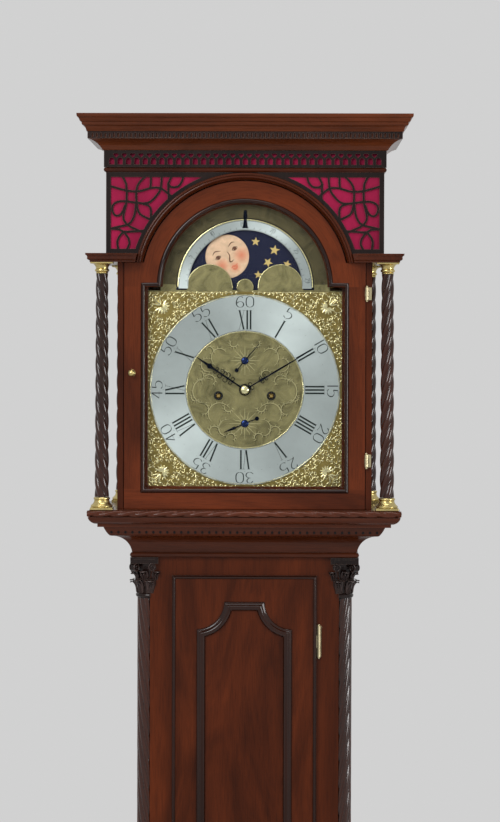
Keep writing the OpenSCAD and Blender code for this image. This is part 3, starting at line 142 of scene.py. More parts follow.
class Shape:
    """Collects the vertices and faces of one piece."""

    def __init__(self):
        self.vertices = []
        self.faces = []

    def add(self, vertices, faces):
        first = len(self.vertices)
        self.vertices += [Vector(v) for v in vertices]
        self.faces += [tuple(first + i for i in face) for face in faces]

    def grid(self, rows, closed_columns=False):
        """A skin over rows of points; each row has the same number of points."""
        m = len(rows[0])
        faces = []
        for i in range(len(rows) - 1):
            for j in range(m if closed_columns else m - 1):
                beside = (j + 1) % m
                faces.append((i * m + j, i * m + beside, (i + 1) * m + beside, (i + 1) * m + j))
        self.add([p for row in rows for p in row], faces)

    def tube(self, rows):
        """A closed skin over rings of points, with a flat face on either end."""
        self.grid(rows, closed_columns=True)
        self.add(rows[0], [tuple(range(len(rows[0]) - 1, -1, -1))])
        self.add(rows[-1], [tuple(range(len(rows[0])))])

    def revolve(self, profile, centre, steps):
        """Turns (radius, depth) points about a line through a centre that runs from front to back."""
        rows = []
        for r, along in profile:
            ring = [Vector((r * math.cos(a), along, r * math.sin(a))) for a in turns(steps)]
            rows.append([Vector(centre) + p for p in ring])
        self.grid(rows, closed_columns=True)

    def prism(self, outline, y_back, y_front, chamfer=0.0):
        """An outline of (x, z) points between two depths, its front edge cut by a small chamfer."""
        n = len(outline)
        ring = outline if signed_area(outline) > 0 else outline[::-1]
        inner = [inward(ring, i, chamfer) for i in range(n)]
        walls = []
        for first in (0, n):
            walls += [(first + i, first + (i + 1) % n, first + n + (i + 1) % n, first + n + i) for i in range(n)]
        self.add([(x, y_back, z) for x, z in ring] + [(x, y_front + chamfer, z) for x, z in ring]
                 + [(x, y_front, z) for x, z in inner],
                 walls + [tuple(range(2 * n, 3 * n)), tuple(range(n - 1, -1, -1))])

    def sweep(self, path, widths, height, up=FORWARD, closed_ends=True):
        """A raised strap along a path, its back rounded, its width given for shares of the path's length."""
        rows = []
        for i, p in enumerate(path):
            along = path[min(i + 1, len(path) - 1)] - path[max(i - 1, 0)]
            side, w = along.cross(up).normalized(), widths(i / (len(path) - 1))
            back = [p + side * math.cos(a) * w / 2 + up * (0.3 + 0.7 * math.sin(a)) * height
                    for a in (math.pi * k / 4 for k in range(5))]
            rows.append([p + side * w / 2 - up * STRAP_SUNK, *back, p - side * w / 2 - up * STRAP_SUNK])
        self.grid(rows)
        if closed_ends:
            m = len(rows[0])
            self.add(rows[0], [tuple(range(m))])
            self.add(rows[-1], [tuple(range(m - 1, -1, -1))])

    def object(self, name, body, slot, material, smooth=True):
        return add_mesh(name, self.vertices, self.faces, body, material, smooth)


def signed_area(outline):
    pairs = zip(outline, outline[1:] + outline[:1])
    return sum(a[0] * b[1] - b[0] * a[1] for a, b in pairs) / 2


def inward(outline, i, distance):
    """The corner i of an outline that runs anticlockwise, moved inwards by a distance."""
    before, here, after = (Vector(outline[j % len(outline)]) for j in (i - 1, i, i + 1))
    a, b = (here - before).normalized(), (after - here).normalized()
    normals = Vector((-a.y, a.x)), Vector((-b.y, b.x))
    bisector = (normals[0] + normals[1])
    if bisector.length < 1e-6:
        return tuple(here)
    bisector.normalize()
    return tuple(here + bisector * distance / max(0.4, bisector.dot(normals[0])))


def smooth_path(points, steps):
    """Points along a smooth curve through the given points."""
    p = [Vector(q) for q in points]
    out = []
    for i in range(len(p) - 1):
        a, b, c, d = p[max(i - 1, 0)], p[i], p[i + 1], p[min(i + 2, len(p) - 1)]
        for k in range(steps):
            t = k / steps
            out.append(0.5 * ((2 * b) + (c - a) * t + (2 * a - 5 * b + 4 * c - d) * t * t
                              + (3 * b - a - 3 * c + d) * t ** 3))
    return out + [p[-1]]


def clock_point(centre, radius, degrees, y):
    """A point on a dial, its angle taken clockwise from twelve."""
    a = math.radians(degrees)
    return Vector((centre[0] + radius * math.sin(a), y, centre[1] + radius * math.cos(a)))


def clock_xz(centre, radius, degrees):
    p = clock_point(centre, radius, degrees, 0)
    return (p.x, p.z)


def arc(centre, radius, start, end, steps):
    """Points (x, z) along an arc between two angles, taken clockwise from twelve."""
    return [clock_xz(centre, radius, start + (end - start) * i / steps) for i in range(steps + 1)]


# Materials

class Nodes:
    """A material's node tree, with short calls for the nodes used here."""

    def __init__(self, name):
        self.material = bpy.data.materials.new(name)
        self.material.use_nodes = True
        self.tree = self.material.node_tree
        self.shader = self.tree.nodes["Principled BSDF"]
        self.output = self.tree.nodes["Material Output"]

    def new(self, kind, **values):
        """A new node, its sockets and settings set by name."""
        node = self.tree.nodes.new(kind)
        for key, value in values.items():
            if key in node.inputs:
                node.inputs[key].default_value = value
            else:
                setattr(node, key, value)
        return node

    def link(self, a, b):
        self.tree.links.new(a, b)

    def put(self, socket, value):
        """Links an output to a socket, or sets the socket's own value."""
        if isinstance(value, bpy.types.NodeSocket):
            self.link(value, socket)
        else:
            socket.default_value = value

    def joined(self, kind, output, *inputs, **values):
        """The output of a new node whose inputs are linked or set in their order."""
        node = self.new(kind, **values)
        for socket, value in zip(node.inputs, inputs):
            self.put(socket, value)
        return node.outputs[output]

    def maths(self, operation, *inputs):
        return self.joined("ShaderNodeMath", "Value", *inputs, operation=operation)

    def vector_math(self, operation, *inputs, output="Value"):
        return self.joined("ShaderNodeVectorMath", output, *inputs, operation=operation)

    def parts(self, vector):
        """The three numbers of a vector."""
        node = self.new("ShaderNodeSeparateXYZ")
        self.link(vector, node.inputs["Vector"])
        return node.outputs[:]

    def coordinates(self):
        """Object coordinates, which are the row frame's."""
        return self.new("ShaderNodeTexCoord").outputs["Object"]

    def place(self, stretch=(1, 1, 1)):
        """Object coordinates stretched along the three axes."""
        return self.joined("ShaderNodeMapping", "Vector", self.coordinates(), Scale=stretch)

    def round_the_arch(self, stretch):
        """Coordinates that run round the arch's centre: distance from it, depth and length of arc."""
        centre = (ARCH_CENTRE[0], 0, ARCH_CENTRE[1])
        shifted = self.vector_math("SUBTRACT", self.coordinates(), centre, output="Vector")
        x, y, z = self.parts(shifted)
        along = self.maths("MULTIPLY", self.maths("ARCTAN2", x, z), DOOR_ARCH_R)
        bent = self.joined("ShaderNodeCombineXYZ", "Vector", self.vector_math("LENGTH", shifted), y, along)
        return self.joined("ShaderNodeMapping", "Vector", bent, Scale=stretch)

    def where(self, axis, limit, over, under):
        """One vector where a coordinate of the frame is over a limit, and another where it is under it."""
        test = self.maths("GREATER_THAN", self.parts(self.coordinates())["XYZ".index(axis)], limit)
        mix = self.new("ShaderNodeMix", data_type="VECTOR")
        for name, value in (("Factor", test), ("A", under), ("B", over)):
            self.link(value, mix.inputs[name])
        return mix.outputs["Result"]

    def edges(self, reach):
        """Near 1 on the edges and in the corners of a surface, within a reach, and 0 on its flats."""
        rounded = self.new("ShaderNodeBevel", samples=6, Radius=reach).outputs["Normal"]
        flat = self.new("ShaderNodeNewGeometry").outputs["Normal"]
        alike = self.vector_math("DOT_PRODUCT", rounded, flat)
        return self.joined("ShaderNodeMapRange", "Result", alike, 0.98, 0.75)

    def hollows(self, tone, reach):
        """A tone darkened in hollow places and grooves, as painted shade."""
        shelter = self.new("ShaderNodeAmbientOcclusion", samples=8, Distance=reach).outputs["AO"]
        # Painted shade: the colour is darkened where ambient occlusion finds hollow places
        painted_shade = self.ramp(shelter, [(0.45, (0.08, 0.08, 0.08)), (0.85, (1, 1, 1))])
        return self.mix(1.0, tone, painted_shade, "MULTIPLY")

    def noise(self, vector, scale, detail=4.0, roughness=0.55, distortion=0.0):
        return self.joined("ShaderNodeTexNoise", "Fac", vector, Scale=scale, Detail=detail, Roughness=roughness,
                           Distortion=distortion)

    def ramp(self, value, stops):
        ramp = self.new("ShaderNodeValToRGB")
        elements = ramp.color_ramp.elements
        while len(elements) < len(stops):
            elements.new(0.5)
        for element, (position, rgb) in zip(elements, stops):
            element.position = position
            element.color = (*rgb, 1)
        self.link(value, ramp.inputs["Fac"])
        return ramp.outputs["Color"]

    def mix(self, factor, a, b, blend="MIX"):
        mix = self.new("ShaderNodeMix", data_type="RGBA", blend_type=blend)
        for socket, value in ((mix.inputs["Factor"], factor), (mix.inputs["A"], a), (mix.inputs["B"], b)):
            ready = isinstance(value, (bpy.types.NodeSocket, int, float))
            self.put(socket, value if ready else (*value, 1))
        return mix.outputs["Result"]

    def finish(self, colour_output=None, bump=None, soft_edge=0.0, **values):
        """Joins the colour, the bump (height, strength, distance) and the softened edges to the shader."""
        shader = self.shader
        if colour_output is not None:
            self.link(colour_output, shader.inputs["Base Color"])
        for key, value in values.items():
            shader.inputs[key.replace("_", " ")].default_value = value
        normal = None
        if soft_edge:
            normal = self.new("ShaderNodeBevel", samples=4, Radius=soft_edge).outputs["Normal"]
        if bump is not None:
            height, strength, distance = bump
            node = self.new("ShaderNodeBump", Strength=strength, Distance=distance)
            self.link(height, node.inputs["Height"])
            if normal is not None:
                self.link(normal, node.inputs["Normal"])
            normal = node.outputs["Normal"]
        if normal is not None:
            self.link(normal, shader.inputs["Normal"])
        return self.material


def shade(rgb, factor):
    return tuple(min(1.0, c * factor) for c in rgb)


GRAINS = {"X": (3, 60, 60), "Z": (60, 60, 3), "ARCH": (60, 60, 4),
          "X_BROAD": (2.6, 12, 14), "Z_BROAD": (10, 9, 2.4), "ARCH_BROAD": (12, 12, 1.2)}


def grained(n, grain, factor):
    """Coordinates stretched along the grain: along an axis, round the arch, or as a door frame's parts run."""
    if grain.startswith("FRAME"):
        stiles = n.where("Z", SIGHT_Z, grained(n, grain.replace("FRAME", "Z"), factor),
                         grained(n, grain.replace("FRAME", "X"), factor))
        return n.where("Z", ARCH_CENTRE[1], grained(n, grain.replace("FRAME", "ARCH"), factor), stiles)
    place = n.round_the_arch if grain.startswith("ARCH") else n.place
    return place(tuple(c * factor for c in GRAINS[grain]))


def wood(name, rgb, grain="Z", figure=1.0, gloss=0.3, coat=0.1, edge=0.0, hollows=False):
    """Polished wood with its grain along an axis or round the arch, paler at its edges as a painted highlight, and
    darkened in hollow places as painted shade when asked.
    """
    n = Nodes(name)
    broad = n.noise(grained(n, grain + "_BROAD", 1.0), 1.0, 6, 0.55, 0.9 * figure)
    fine = n.noise(grained(n, grain, 9), 1.0, 3, 0.6)
    figured = n.ramp(broad, [(0.34, shade(rgb, 0.55)), (0.52, rgb), (0.7, shade(rgb, 1.5))])
    pores = n.ramp(fine, [(0.35, (0.55, 0.55, 0.55)), (0.55, (1, 1, 1))])
    both = n.mix(0.55, figured, pores, "MULTIPLY")
    # Painted highlight: a pale tone mixed in along the edges and corners, as strong as edge
    if edge:
        both = n.mix(n.maths("MULTIPLY", n.edges(0.9 * MM), edge), both, (0.3, 0.2, 0.16))
    # Painted shade in hollow places and grooves
    if hollows:
        both = n.hollows(both, 5 * MM)
    return n.finish(both, bump=(fine, 0.08, 0.0004), soft_edge=0.9 * MM, Roughness=gloss,
                    Specular_IOR_Level=0.1, Coat_Weight=coat, Coat_Roughness=0.1)


def metal(name, rgb, roughness=0.25, age=0.35, grime=0.3, soft_edge=0.4 * MM, patch=40.0):
    """Metal with patches of age, and a fine bump whose strength grime sets."""
    n = Nodes(name)
    patches = n.noise(n.place(), patch, 5, 0.65, 0.6)
    tone = n.ramp(patches, [(0.3, shade(rgb, 1 - age)), (0.6, rgb), (0.8, shade(rgb, 1 + age / 2))])
    fine = n.noise(n.place(), patch * 12, 2)
    return n.finish(tone, bump=(fine, grime * 0.2, 0.0002), soft_edge=soft_edge, Roughness=roughness,
                    Metallic=1.0)


def matted_brass(name, rgb):
    """Brass ground rough with small dimples, under old lacquer."""
    n = Nodes(name)
    dimples = n.noise(n.place(), 1400, 2, 0.5)
    patches = n.noise(n.place(), 30, 6, 0.7, 1.2)
    tone = n.ramp(patches, [(0.34, shade(rgb, 0.5)), (0.52, rgb), (0.72, shade(rgb, 1.4))])
    return n.finish(tone, bump=(dimples, 0.35, 0.0003), Roughness=0.42, Metallic=0.75)


def silvered(name, rgb):
    """Silvered brass, brushed in rings round the dial's centre, so that its gloss fans out from there."""
    n = Nodes(name)
    patches = n.noise(n.place(), 14, 4, 0.6, 0.4)
    tone = n.ramp(patches, [(0.25, shade(rgb, 0.86)), (0.6, rgb), (0.85, shade(rgb, 1.08))])
    rings = n.new("ShaderNodeTangent", direction_type="RADIAL", axis="Y")
    n.link(rings.outputs["Tangent"], n.shader.inputs["Tangent"])
    return n.finish(tone, Roughness=0.34, Metallic=0.85, Anisotropic=0.75)


def plain(name, rgb, roughness=0.5, metallic=0.0, coat=0.0):
    n = Nodes(name)
    n.shader.inputs["Base Color"].default_value = (*rgb, 1)
    return n.finish(Roughness=roughness, Metallic=metallic, Coat_Weight=coat, Specular_IOR_Level=0.25)


def silk(name, rgb):
    """Silk with a fine weave, paler where it catches the light."""
    n = Nodes(name)
    folds = n.noise(n.place((18, 18, 3)), 1.0, 3, 0.5, 0.3)
    weave = n.noise(n.place((2600, 2600, 900)), 1.0, 1)
    tone = n.ramp(folds, [(0.3, shade(rgb, 0.55)), (0.55, rgb), (0.8, shade(rgb, 1.35))])
    return n.finish(tone, bump=(weave, 0.2, 0.0002), Roughness=0.6, Specular_IOR_Level=0.1)


def clear_glass(name):
    n = Nodes(name)
    clear = n.new("ShaderNodeBsdfTransparent", Color=(0.97, 0.985, 0.975, 1)).outputs["BSDF"]
    gloss = n.new("ShaderNodeBsdfGlossy", Roughness=0.02).outputs["BSDF"]
    facing = n.new("ShaderNodeFresnel", IOR=1.12).outputs["Fac"]
    n.link(n.joined("ShaderNodeMixShader", "Shader", facing, clear, gloss), n.output.inputs["Surface"])
    return n.material


MATERIALS = {}


def make_materials():
    c = look()
    MATERIALS.update({
        # After the grain the wood numbers are figure, roughness, coat, the strength of the painted edge highlight
        # and whether painted shade darkens the hollow places
        "trunk": wood("mahogany_trunk", c.trunk_wood, "Z", 1.0),
        "trunk_across": wood("mahogany_trunk_across", c.trunk_wood, "X", 1.0),
        "door": wood("mahogany_flame", c.trunk_wood, "Z", 2.4),
        "hood": wood("mahogany_hood", c.hood_wood, "Z", 0.8),
        "hood_door": wood("mahogany_hood_door", c.hood_wood, "FRAME", 1.2, 0.24, 0.12),
        "mouldings": wood("mahogany_mouldings", c.moulding_wood, "X", 0.6, 0.24, 0.2, 0.3),
        "mouldings_lit": wood("mahogany_mouldings_lit", (0.098, 0.023, 0.007), "X", 1.0, 0.26, 0.12, 0.15),
        "mouldings_upright": wood("mahogany_mouldings_upright", shade(c.moulding_wood, 0.3), "Z", 0.6, 0.16, 0.5,
                                  0.45),
        "mouldings_arch": wood("mahogany_mouldings_arch", shade(c.hood_wood, 0.55), "ARCH", 0.6, 0.24, 0.2,
                               0.2),
        "twisted": wood("mahogany_twisted", shade(c.trunk_wood, 0.42), "Z", 0.4, 0.2, 0.8, 0, True),
        "carved": wood("carved_mahogany", c.carved_wood, "Z", 0.4, 0.24, 0.25, 0.5),
        "nosing": wood("carved_nosing", shade(c.moulding_wood, 1.2), "X", 0.4, 0.2, 0.35, 0.3, True),
        "dentils": wood("carved_dentils", shade(c.carved_wood, 1.7), "Z", 0.4, 0.24, 0.2, 0.7, True),
        "leaves": wood("carved_leaves", shade(c.carved_wood, 2.2), "Z", 0.4, 0.18, 0.4, 0.5, True),
        "carcass": wood("carcass_wood", c.inner_wood, "Z", 0.8, 0.6, 0.0),
        "carcass_across": wood("carcass_wood_across", c.inner_wood, "X", 0.8, 0.6, 0.0),
        "silk": silk("crimson_silk", c.silk),
        "brass": metal("brass", c.brass, 0.24),
        "column_brass": metal("column_brass", (0.66, 0.53, 0.22), 0.26),
        "pale_brass": metal("pale_brass", (0.62, 0.54, 0.33), 0.3),
        "gilt": metal("gilt_castings", c.gilding, 0.22, 0.45, 0.5, 0.3 * MM, 90),
        "rim": metal("bright_brass", (0.95, 0.85, 0.5), 0.2, 0.15, 0.1),
        # Black of the rings round the winding holes, painted shade
        "black": plain("winding_hole_shade", (0.006, 0.006, 0.006), 0.6),
        "blued_bright": metal("blued_steel_bright", (0.02, 0.035, 0.12), 0.18, 0.2, 0.1),
        "gilt_dark": metal("gilt_ground", (0.3, 0.22, 0.07), 0.42, 0.4),
        "plate": matted_brass("matted_brass", c.plate_brass),
        "arch": matted_brass("arch_brass", c.arch_brass),
        "silvered": silvered("silvering", c.silvering),
        "ink": plain("black_wax", c.ink, 0.4),
        # Engraved lines, pale as a painted highlight; the dark one serves both real dark engraving and the painted
        # shadow beside the scrolls
        "engraving": plain("engraved_line_painted_highlight", (0.62, 0.55, 0.3), 0.3, 0.7),
        "engraving_dark": plain("dark_engraving_and_painted_shadow", (0.07, 0.055, 0.02), 0.6, 0.3),
        "blued": metal("blued_steel", c.blued, 0.2, 0.2, 0.1),
        "steel": metal("steel", (0.28, 0.29, 0.3), 0.3, 0.2),
        "bell": metal("bell_metal", (0.5, 0.42, 0.22), 0.25, 0.2),
        "glass": clear_glass("window_glass"),
        "gut": plain("gut_line", (0.55, 0.4, 0.2), 0.5),
        "sky": plain("moon_sky", c.moon_sky, 0.5),
        "blush": plain("moon_cheeks", (0.72, 0.2, 0.11), 0.45, 0.0, 0.3),
        "features": plain("moon_features", (0.14, 0.055, 0.03), 0.45, 0.0, 0.3),
        # Near-black colour of the waist spots, painted shade of holes
        "hollow": plain("painted_hole_shade", (0.004, 0.002, 0.002), 0.8),
        "star": plain("gold_stars", (0.72, 0.52, 0.2), 0.35, 0.4),
    })


NODE_MATERIALS = {
    "carcass": "backboard",
    "carcass_across": "seat_board hood_top_board",
    "trunk": "trunk_sides trunk_front_frame hood_sides base_carcass",
    "door": "trunk_door_board base_panel",
    "trunk_across": "plinth",
    "mouldings": "base_moulding waist_moulding hood_base_frame",
    "mouldings_lit": "cornice",
    "twisted": "hood_columns trunk_quarter_columns",
    "mouldings_upright": "trunk_door_mouldings",
    "mouldings_arch": "hood_mouldings",
    "hood": "hood_mask",
    "hood_door": "hood_door_frame",
    "carved": "trunk_capitals upper_box blind_frets",
    "dentils": "cornice_dentils",
    "silk": "fret_silk",
    "brass": "movement_frame centre_wheel motion_wheel hour_wheel third_wheel escape_wheel great_wheel "
             "going_barrel strike_barrel pendulum going_weight strike_weight",
    "column_brass": "hood_column_brasses hood_door_knob",
    "pale_brass": "trunk_hinge_case_leaves trunk_door_brasses hood_hinge_case_leaves hood_door_hinge_leaves",
    "gilt": "dial_spandrels",
    "plate": "dial_plate",
    "silvered": "chapter_ring",
    "blued": "moon_pointer date_hand minute_hand hour_hand seconds_hand",
    "steel": "anchor bell_hammer",
    "bell": "bell",
    "glass": "hood_side_glass hood_door_glass",
    "gut": "going_line strike_line line_uppers",
    "sky": "moon_disc",
}


def paint(node, material):
    obj = frame["nodes"][node]
    obj.data.materials.clear()
    obj.data.materials.append(material)


def slot_of(node):
    """The record's material slot of a solid."""
    return next(s["material_slot"] for s in frame["record"]["subparts"] if s["node"] == node)


def body_of(node):
    """The moving body that a solid belongs to."""
    return next(b for b, nodes in frame["record"]["behaviour"]["bodies"].items() if node in nodes)


class CLOCK_OT_paint_solids(bpy.types.Operator):
    """Gives every solid of the frame its material"""

    bl_idname = "clock.paint_solids"
    bl_label = "Paint the solids"

    def execute(self, context):
        make_materials()
        for material, nodes in NODE_MATERIALS.items():
            for node in nodes.split():
                paint(node, MATERIALS[material])
        return {"FINISHED"}


# Twisted columns

# Heights in which a strand goes once round, radii over the strands, and numbers of strands
COLUMN_LEAD = 126 * MM
QUARTER_LEAD = 540 * MM
COLUMN_R = 12 * MM
COLUMN_TOP_R = 10.3 * MM
COLUMN_STRANDS = 4
# The back columns' middle line stands outside the hood's side, and their flat on it
BACK_COLUMN_OUT = 3 * MM
BACK_COLUMN_FLAT = 0.1 * MM
QUARTER_R = 21.7 * MM
QUARTER_STRANDS = 12
QUARTER_DEPTH = 3.0 * MM


def strand_depth(depth, strands, turned):
    """How far the surface lies in from the strands' crests: round strands with sharp grooves between them."""
    return depth * (1 - abs(math.cos(strands / 2 * turned)) ** 0.65)


class CLOCK_OT_columns(bpy.types.Operator):
    """Cuts the rope twist of the hood's columns and of the quarter columns in the trunk's corners"""

    bl_idname = "clock.columns"
    bl_label = "Twisted columns"

    def execute(self, context):
        low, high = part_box("hood_columns")
        hood_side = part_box("hood_sides")[1].x
        places = [("hood_front_columns", high.x - COLUMN_R, low.y + COLUMN_R, -1),
                  ("hood_back_columns", hood_side + BACK_COLUMN_OUT, high.y - COLUMN_R,
                   hood_side + BACK_COLUMN_FLAT)]
        for name, x, y, flat in places:
            shape = Shape()
            for side in (-1, 1):
                self.column(shape, x, y, low.z, high.z, side, flat)
            piece = shape.object(name, "hood", slot_of("hood_columns"), "twisted")
            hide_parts("hood_columns")
        low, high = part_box("trunk_quarter_columns")
        corner = Shape()
        for side in (-1, 1):
            self.quarter(corner, high.x - QUARTER_R, low.y + QUARTER_R, low.z, high.z, side)
        piece = corner.object("quarter_columns", "case", slot_of("trunk_quarter_columns"), "twisted")
        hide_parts("trunk_quarter_columns")
        return {"FINISHED"}

    def column(self, shape, x, y, bottom, top, side, flat):
        """One hood column; what would stand nearer to the middle than flat is cut to that plane."""
        rows = []
        for t in shares(150):
            turn = 2 * math.pi * t * (top - bottom) / COLUMN_LEAD
            crest = COLUMN_R + (COLUMN_TOP_R - COLUMN_R) * t
            row = []
            for local in turns(48):
                radius = crest - strand_depth(look().twist_depth, COLUMN_STRANDS, local)
                across = max(x + radius * math.cos(local + turn), flat)
                row.append((side * across, y + radius * math.sin(local + turn), bottom + (top - bottom) * t))
            rows.append(row[::side])
        shape.tube(rows)

    def quarter(self, shape, x, y, bottom, top, side):
        """One quarter column: an edge along its middle and a quarter of a ring of strands."""
        steps, around = 260, 26
        rows = []
        for i in range(steps + 1):
            z = bottom + (top - bottom) * i / steps
            row = [(side * x, y, z)]
            for k in range(around + 1):
                a = math.pi / 2 * (k / around - 1)
                turned = a - 2 * math.pi * (z - bottom) / QUARTER_LEAD
                radius = QUARTER_R - strand_depth(QUARTER_DEPTH, QUARTER_STRANDS, turned)
                row.append((side * (x + radius * math.cos(a)), y + radius * math.sin(a), z))
            rows.append(row[::side])
        shape.tube(rows)


# Dial

# One pixel of the photograph at the dial
PX = 1.66 * MM
# The two humps that hide the moons in the arch
HUMP_X = 59 * MM
HUMP_R = 38 * MM
MOON_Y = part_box("moon_disc")[0].y
# The moon in sight, across and up from the disc's centre; the other one stands opposite
MOON_PLACE = Vector((-30 * MM, 51 * MM))
MOON_R = 36.5 * MM
MOON_DOME = 1.5 * MM
# The corner castings lie between a circle round the chapter ring and the dial's edges
PLATE_HALF = 163.6 * MM
CASTING_RING_R = 159.6 * MM
CASTING_Y = PLATE_Y - 0.8 * MM
SECONDS_CENTRE = (0.0, 1.8316)
DATE_CENTRE = (0.0, 1.7266)
WINDING_X = 44 * MM
WINDING_Z = 1.773
HOUR_NAMES = ["XII", "I", "II", "III", "IIII", "V", "VI", "VII", "VIII", "IX", "X", "XI"]
# Widths of the hour numerals' strokes
THICK = 2.7 * MM
THIN = 0.55 * MM
# Circles that the figures of the hours and minutes and the minutes' strokes stand on, and heights of the figures
HOURS_R = 100.5 * MM
HOURS_H = 32 * MM
MINUTES_R = 137.5 * MM
MINUTES_H = 18 * MM
STROKES_R = 135.4 * MM
SECONDS_R = 43.5 * MM
# The strip of the moon's age, and the dark ground outside it
STRIP_R = (95 * MM, 110.8 * MM)
SURROUND_R = (115 * MM, 137.2 * MM)
STRIP_Y = PLATE_Y - 0.5 * MM
SUNK_Y = PLATE_Y + 0.1 * MM


class DialDrawing:
    """Flat strokes laid on a dial, drawn in (across, up) and carried to their place round its centre."""

    def __init__(self, y, rise, centre):
        self.shape = Shape()
        self.y = y
        self.rise = rise
        self.centre = centre

    def carry(self, across, up, degrees, radius):
        """A point across and up from a place on the dial, standing on the circle of a radius, feet inwards."""
        a = math.radians(degrees)
        out = Vector((math.sin(a), math.cos(a)))
        side = Vector((math.cos(a), -math.sin(a)))
        return Vector(self.centre) + out * (radius + up) + side * across

    def slab(self, corners, degrees, radius):
        """A thin slab, its corners given across and up from a place on the dial."""
        placed = [tuple(self.carry(u, v, degrees, radius)) for u, v in corners]
        self.shape.prism(placed, self.y, self.y - self.rise)

    def bar(self, foot, head, height, width, degrees, radius):
        """A straight stroke from one place across at its foot to another at its head."""
        half = width / 2
        self.slab([(foot - half, 0), (foot + half, 0), (head + half, height), (head - half, height)],
                  degrees, radius)

    def ribbon(self, points, widths):
        """A flat ribbon along (x, z) points, with a width at each point."""
        n = len(points)
        left, right = [], []
        for i, p in enumerate(points):
            along = Vector(points[min(i + 1, n - 1)]) - Vector(points[max(i - 1, 0)])
            side = Vector((-along.y, along.x)).normalized() * widths[i] / 2
            left.append(Vector(p) + side)
            right.append(Vector(p) - side)
        y = self.y - self.rise
        vertices = [(q.x, y, q.y) for q in left] + [(q.x, y, q.y) for q in right]
        self.shape.add(vertices, [(i, i + 1, n + i + 1, n + i) for i in range(n - 1)])

    def pen(self, points, degrees, radius, height, width=None, across=0.0, thin=0.35):
        """A pen stroke of a numeral, thick where it runs up and down and thin across."""
        path = smooth_path(points, 5)
        placed = [self.carry(across + u * height, v * height, degrees, radius) for u, v in path]
        full = width or 0.115 * height
        widths = []
        for i in range(len(path)):
            d = path[min(i + 1, len(path) - 1)] - path[max(i - 1, 0)]
            widths.append(full * (thin + (1 - thin) * abs(d.y) / max(d.length, 1e-9)))
        self.ribbon(placed, widths)


ROMAN_ADVANCE = {"I": 5.6 * MM, "V": 12.5 * MM, "X": 13 * MM}
# Each stroke's place across at the foot and at the head, in millimetres from the letter's middle, and its width
ROMAN_STROKES = {"I": [(0, 0, THICK)], "V": [(0.4, -4.2, THICK), (1.2, 4.6, THIN)],
                 "X": [(3.6, -3.6, THICK), (-4, 4, THIN)]}
# Each serif's place across, in millimetres, and whether it is at the foot (0) or at the head (1)
ROMAN_SERIFS = {"I": [(0, 0), (0, 1)], "V": [(0.8, 0), (-4.2, 1), (4.6, 1)],
                "X": [(3.6, 0), (-4, 0), (-3.6, 1), (4, 1)]}
SERIF_REACH = 2.5 * MM
SERIF_H = 0.4 * MM


def roman(drawing, name, degrees, radius, height):
    """An hour's name, its feet on the circle of a radius."""
    x = -sum(ROMAN_ADVANCE[c] for c in name) / 2
    for c in name:
        middle = x + ROMAN_ADVANCE[c] / 2
        for foot, head, width in ROMAN_STROKES[c]:
            drawing.bar(middle + foot * MM, middle + head * MM, height, width, degrees, radius)
        for offset, end in ROMAN_SERIFS[c]:
            at, up = middle + offset * MM, end * height - end * 0.3 * MM
            left, right, top = at - SERIF_REACH, at + SERIF_REACH, up + SERIF_H
            drawing.slab([(left, up), (right, up), (right, top), (left, top)], degrees, radius)
        x += ROMAN_ADVANCE[c]


# The strokes of each figure, in shares of its height
DIGITS = {
    "0": [[(0, 0.5), (0.04, 0.15), (0.22, 0), (0.4, 0.15), (0.44, 0.5), (0.4, 0.85), (0.22, 1), (0.04, 0.85),
           (0, 0.5)]],
    "1": [[(0.16, 0), (0.16, 1)]],
    "2": [[(0.02, 0.78), (0.1, 0.96), (0.26, 0.98), (0.38, 0.78), (0.3, 0.5), (0.1, 0.2), (0, 0)],
          [(0, 0.03), (0.22, 0.08), (0.42, 0.02)]],
    "3": [[(0.02, 0.82), (0.12, 0.98), (0.3, 0.96), (0.36, 0.76), (0.26, 0.56), (0.14, 0.53)],
          [(0.14, 0.53), (0.32, 0.48), (0.42, 0.28), (0.34, 0.06), (0.16, 0), (0, 0.14)]],
    "4": [[(0.3, 0), (0.3, 1)], [(0.3, 1), (0.14, 0.6), (0, 0.3)], [(0, 0.3), (0.42, 0.3)]],
    "5": [[(0.08, 0.97), (0.24, 1), (0.4, 1.02)], [(0.08, 0.97), (0.06, 0.56)],
          [(0.06, 0.56), (0.24, 0.64), (0.4, 0.5), (0.42, 0.26), (0.3, 0.04), (0.12, 0), (0, 0.12)]],
    "6": [[(0.38, 0.9), (0.24, 1), (0.08, 0.84), (0, 0.5), (0.02, 0.2), (0.16, 0), (0.34, 0.04), (0.42, 0.26),
           (0.34, 0.48), (0.16, 0.52), (0.03, 0.36)]],
    "7": [[(0, 0.97), (0.2, 0.92), (0.42, 1)], [(0.42, 1), (0.26, 0.5), (0.16, 0)]],
    "8": [[(0.22, 0.54), (0.06, 0.66), (0.06, 0.88), (0.22, 1), (0.38, 0.88), (0.38, 0.68), (0.22, 0.54),
           (0.04, 0.38), (0.02, 0.14), (0.22, 0), (0.42, 0.14), (0.4, 0.38), (0.22, 0.54)]],
    "9": [[(0.06, 0.1), (0.2, 0), (0.36, 0.16), (0.44, 0.5), (0.42, 0.8), (0.26, 1), (0.08, 0.94), (0, 0.74),
           (0.08, 0.54), (0.26, 0.48), (0.41, 0.64)]],
}


def number(drawing, text, degrees, radius, height, width=None, spread=1.0):
    """A number drawn with the pen, its figures spread or narrowed."""
    advance = {c: spread * (0.34 if c == "1" else 0.56) for c in DIGITS}
    x = -(sum(advance[c] for c in text) - 0.12 * spread) / 2
    for c in text:
        for stroke in DIGITS[c]:
            drawing.pen([(x + u * spread, v) for u, v in stroke], degrees, radius, height, width, thin=0.25)
        x += advance[c]


def arc_ribbon(drawing, radius, start, end, width, steps=96):
    points = [tuple(drawing.carry(0, 0, start + (end - start) * i / steps, radius)) for i in range(steps + 1)]
    drawing.ribbon(points, [width] * len(points))


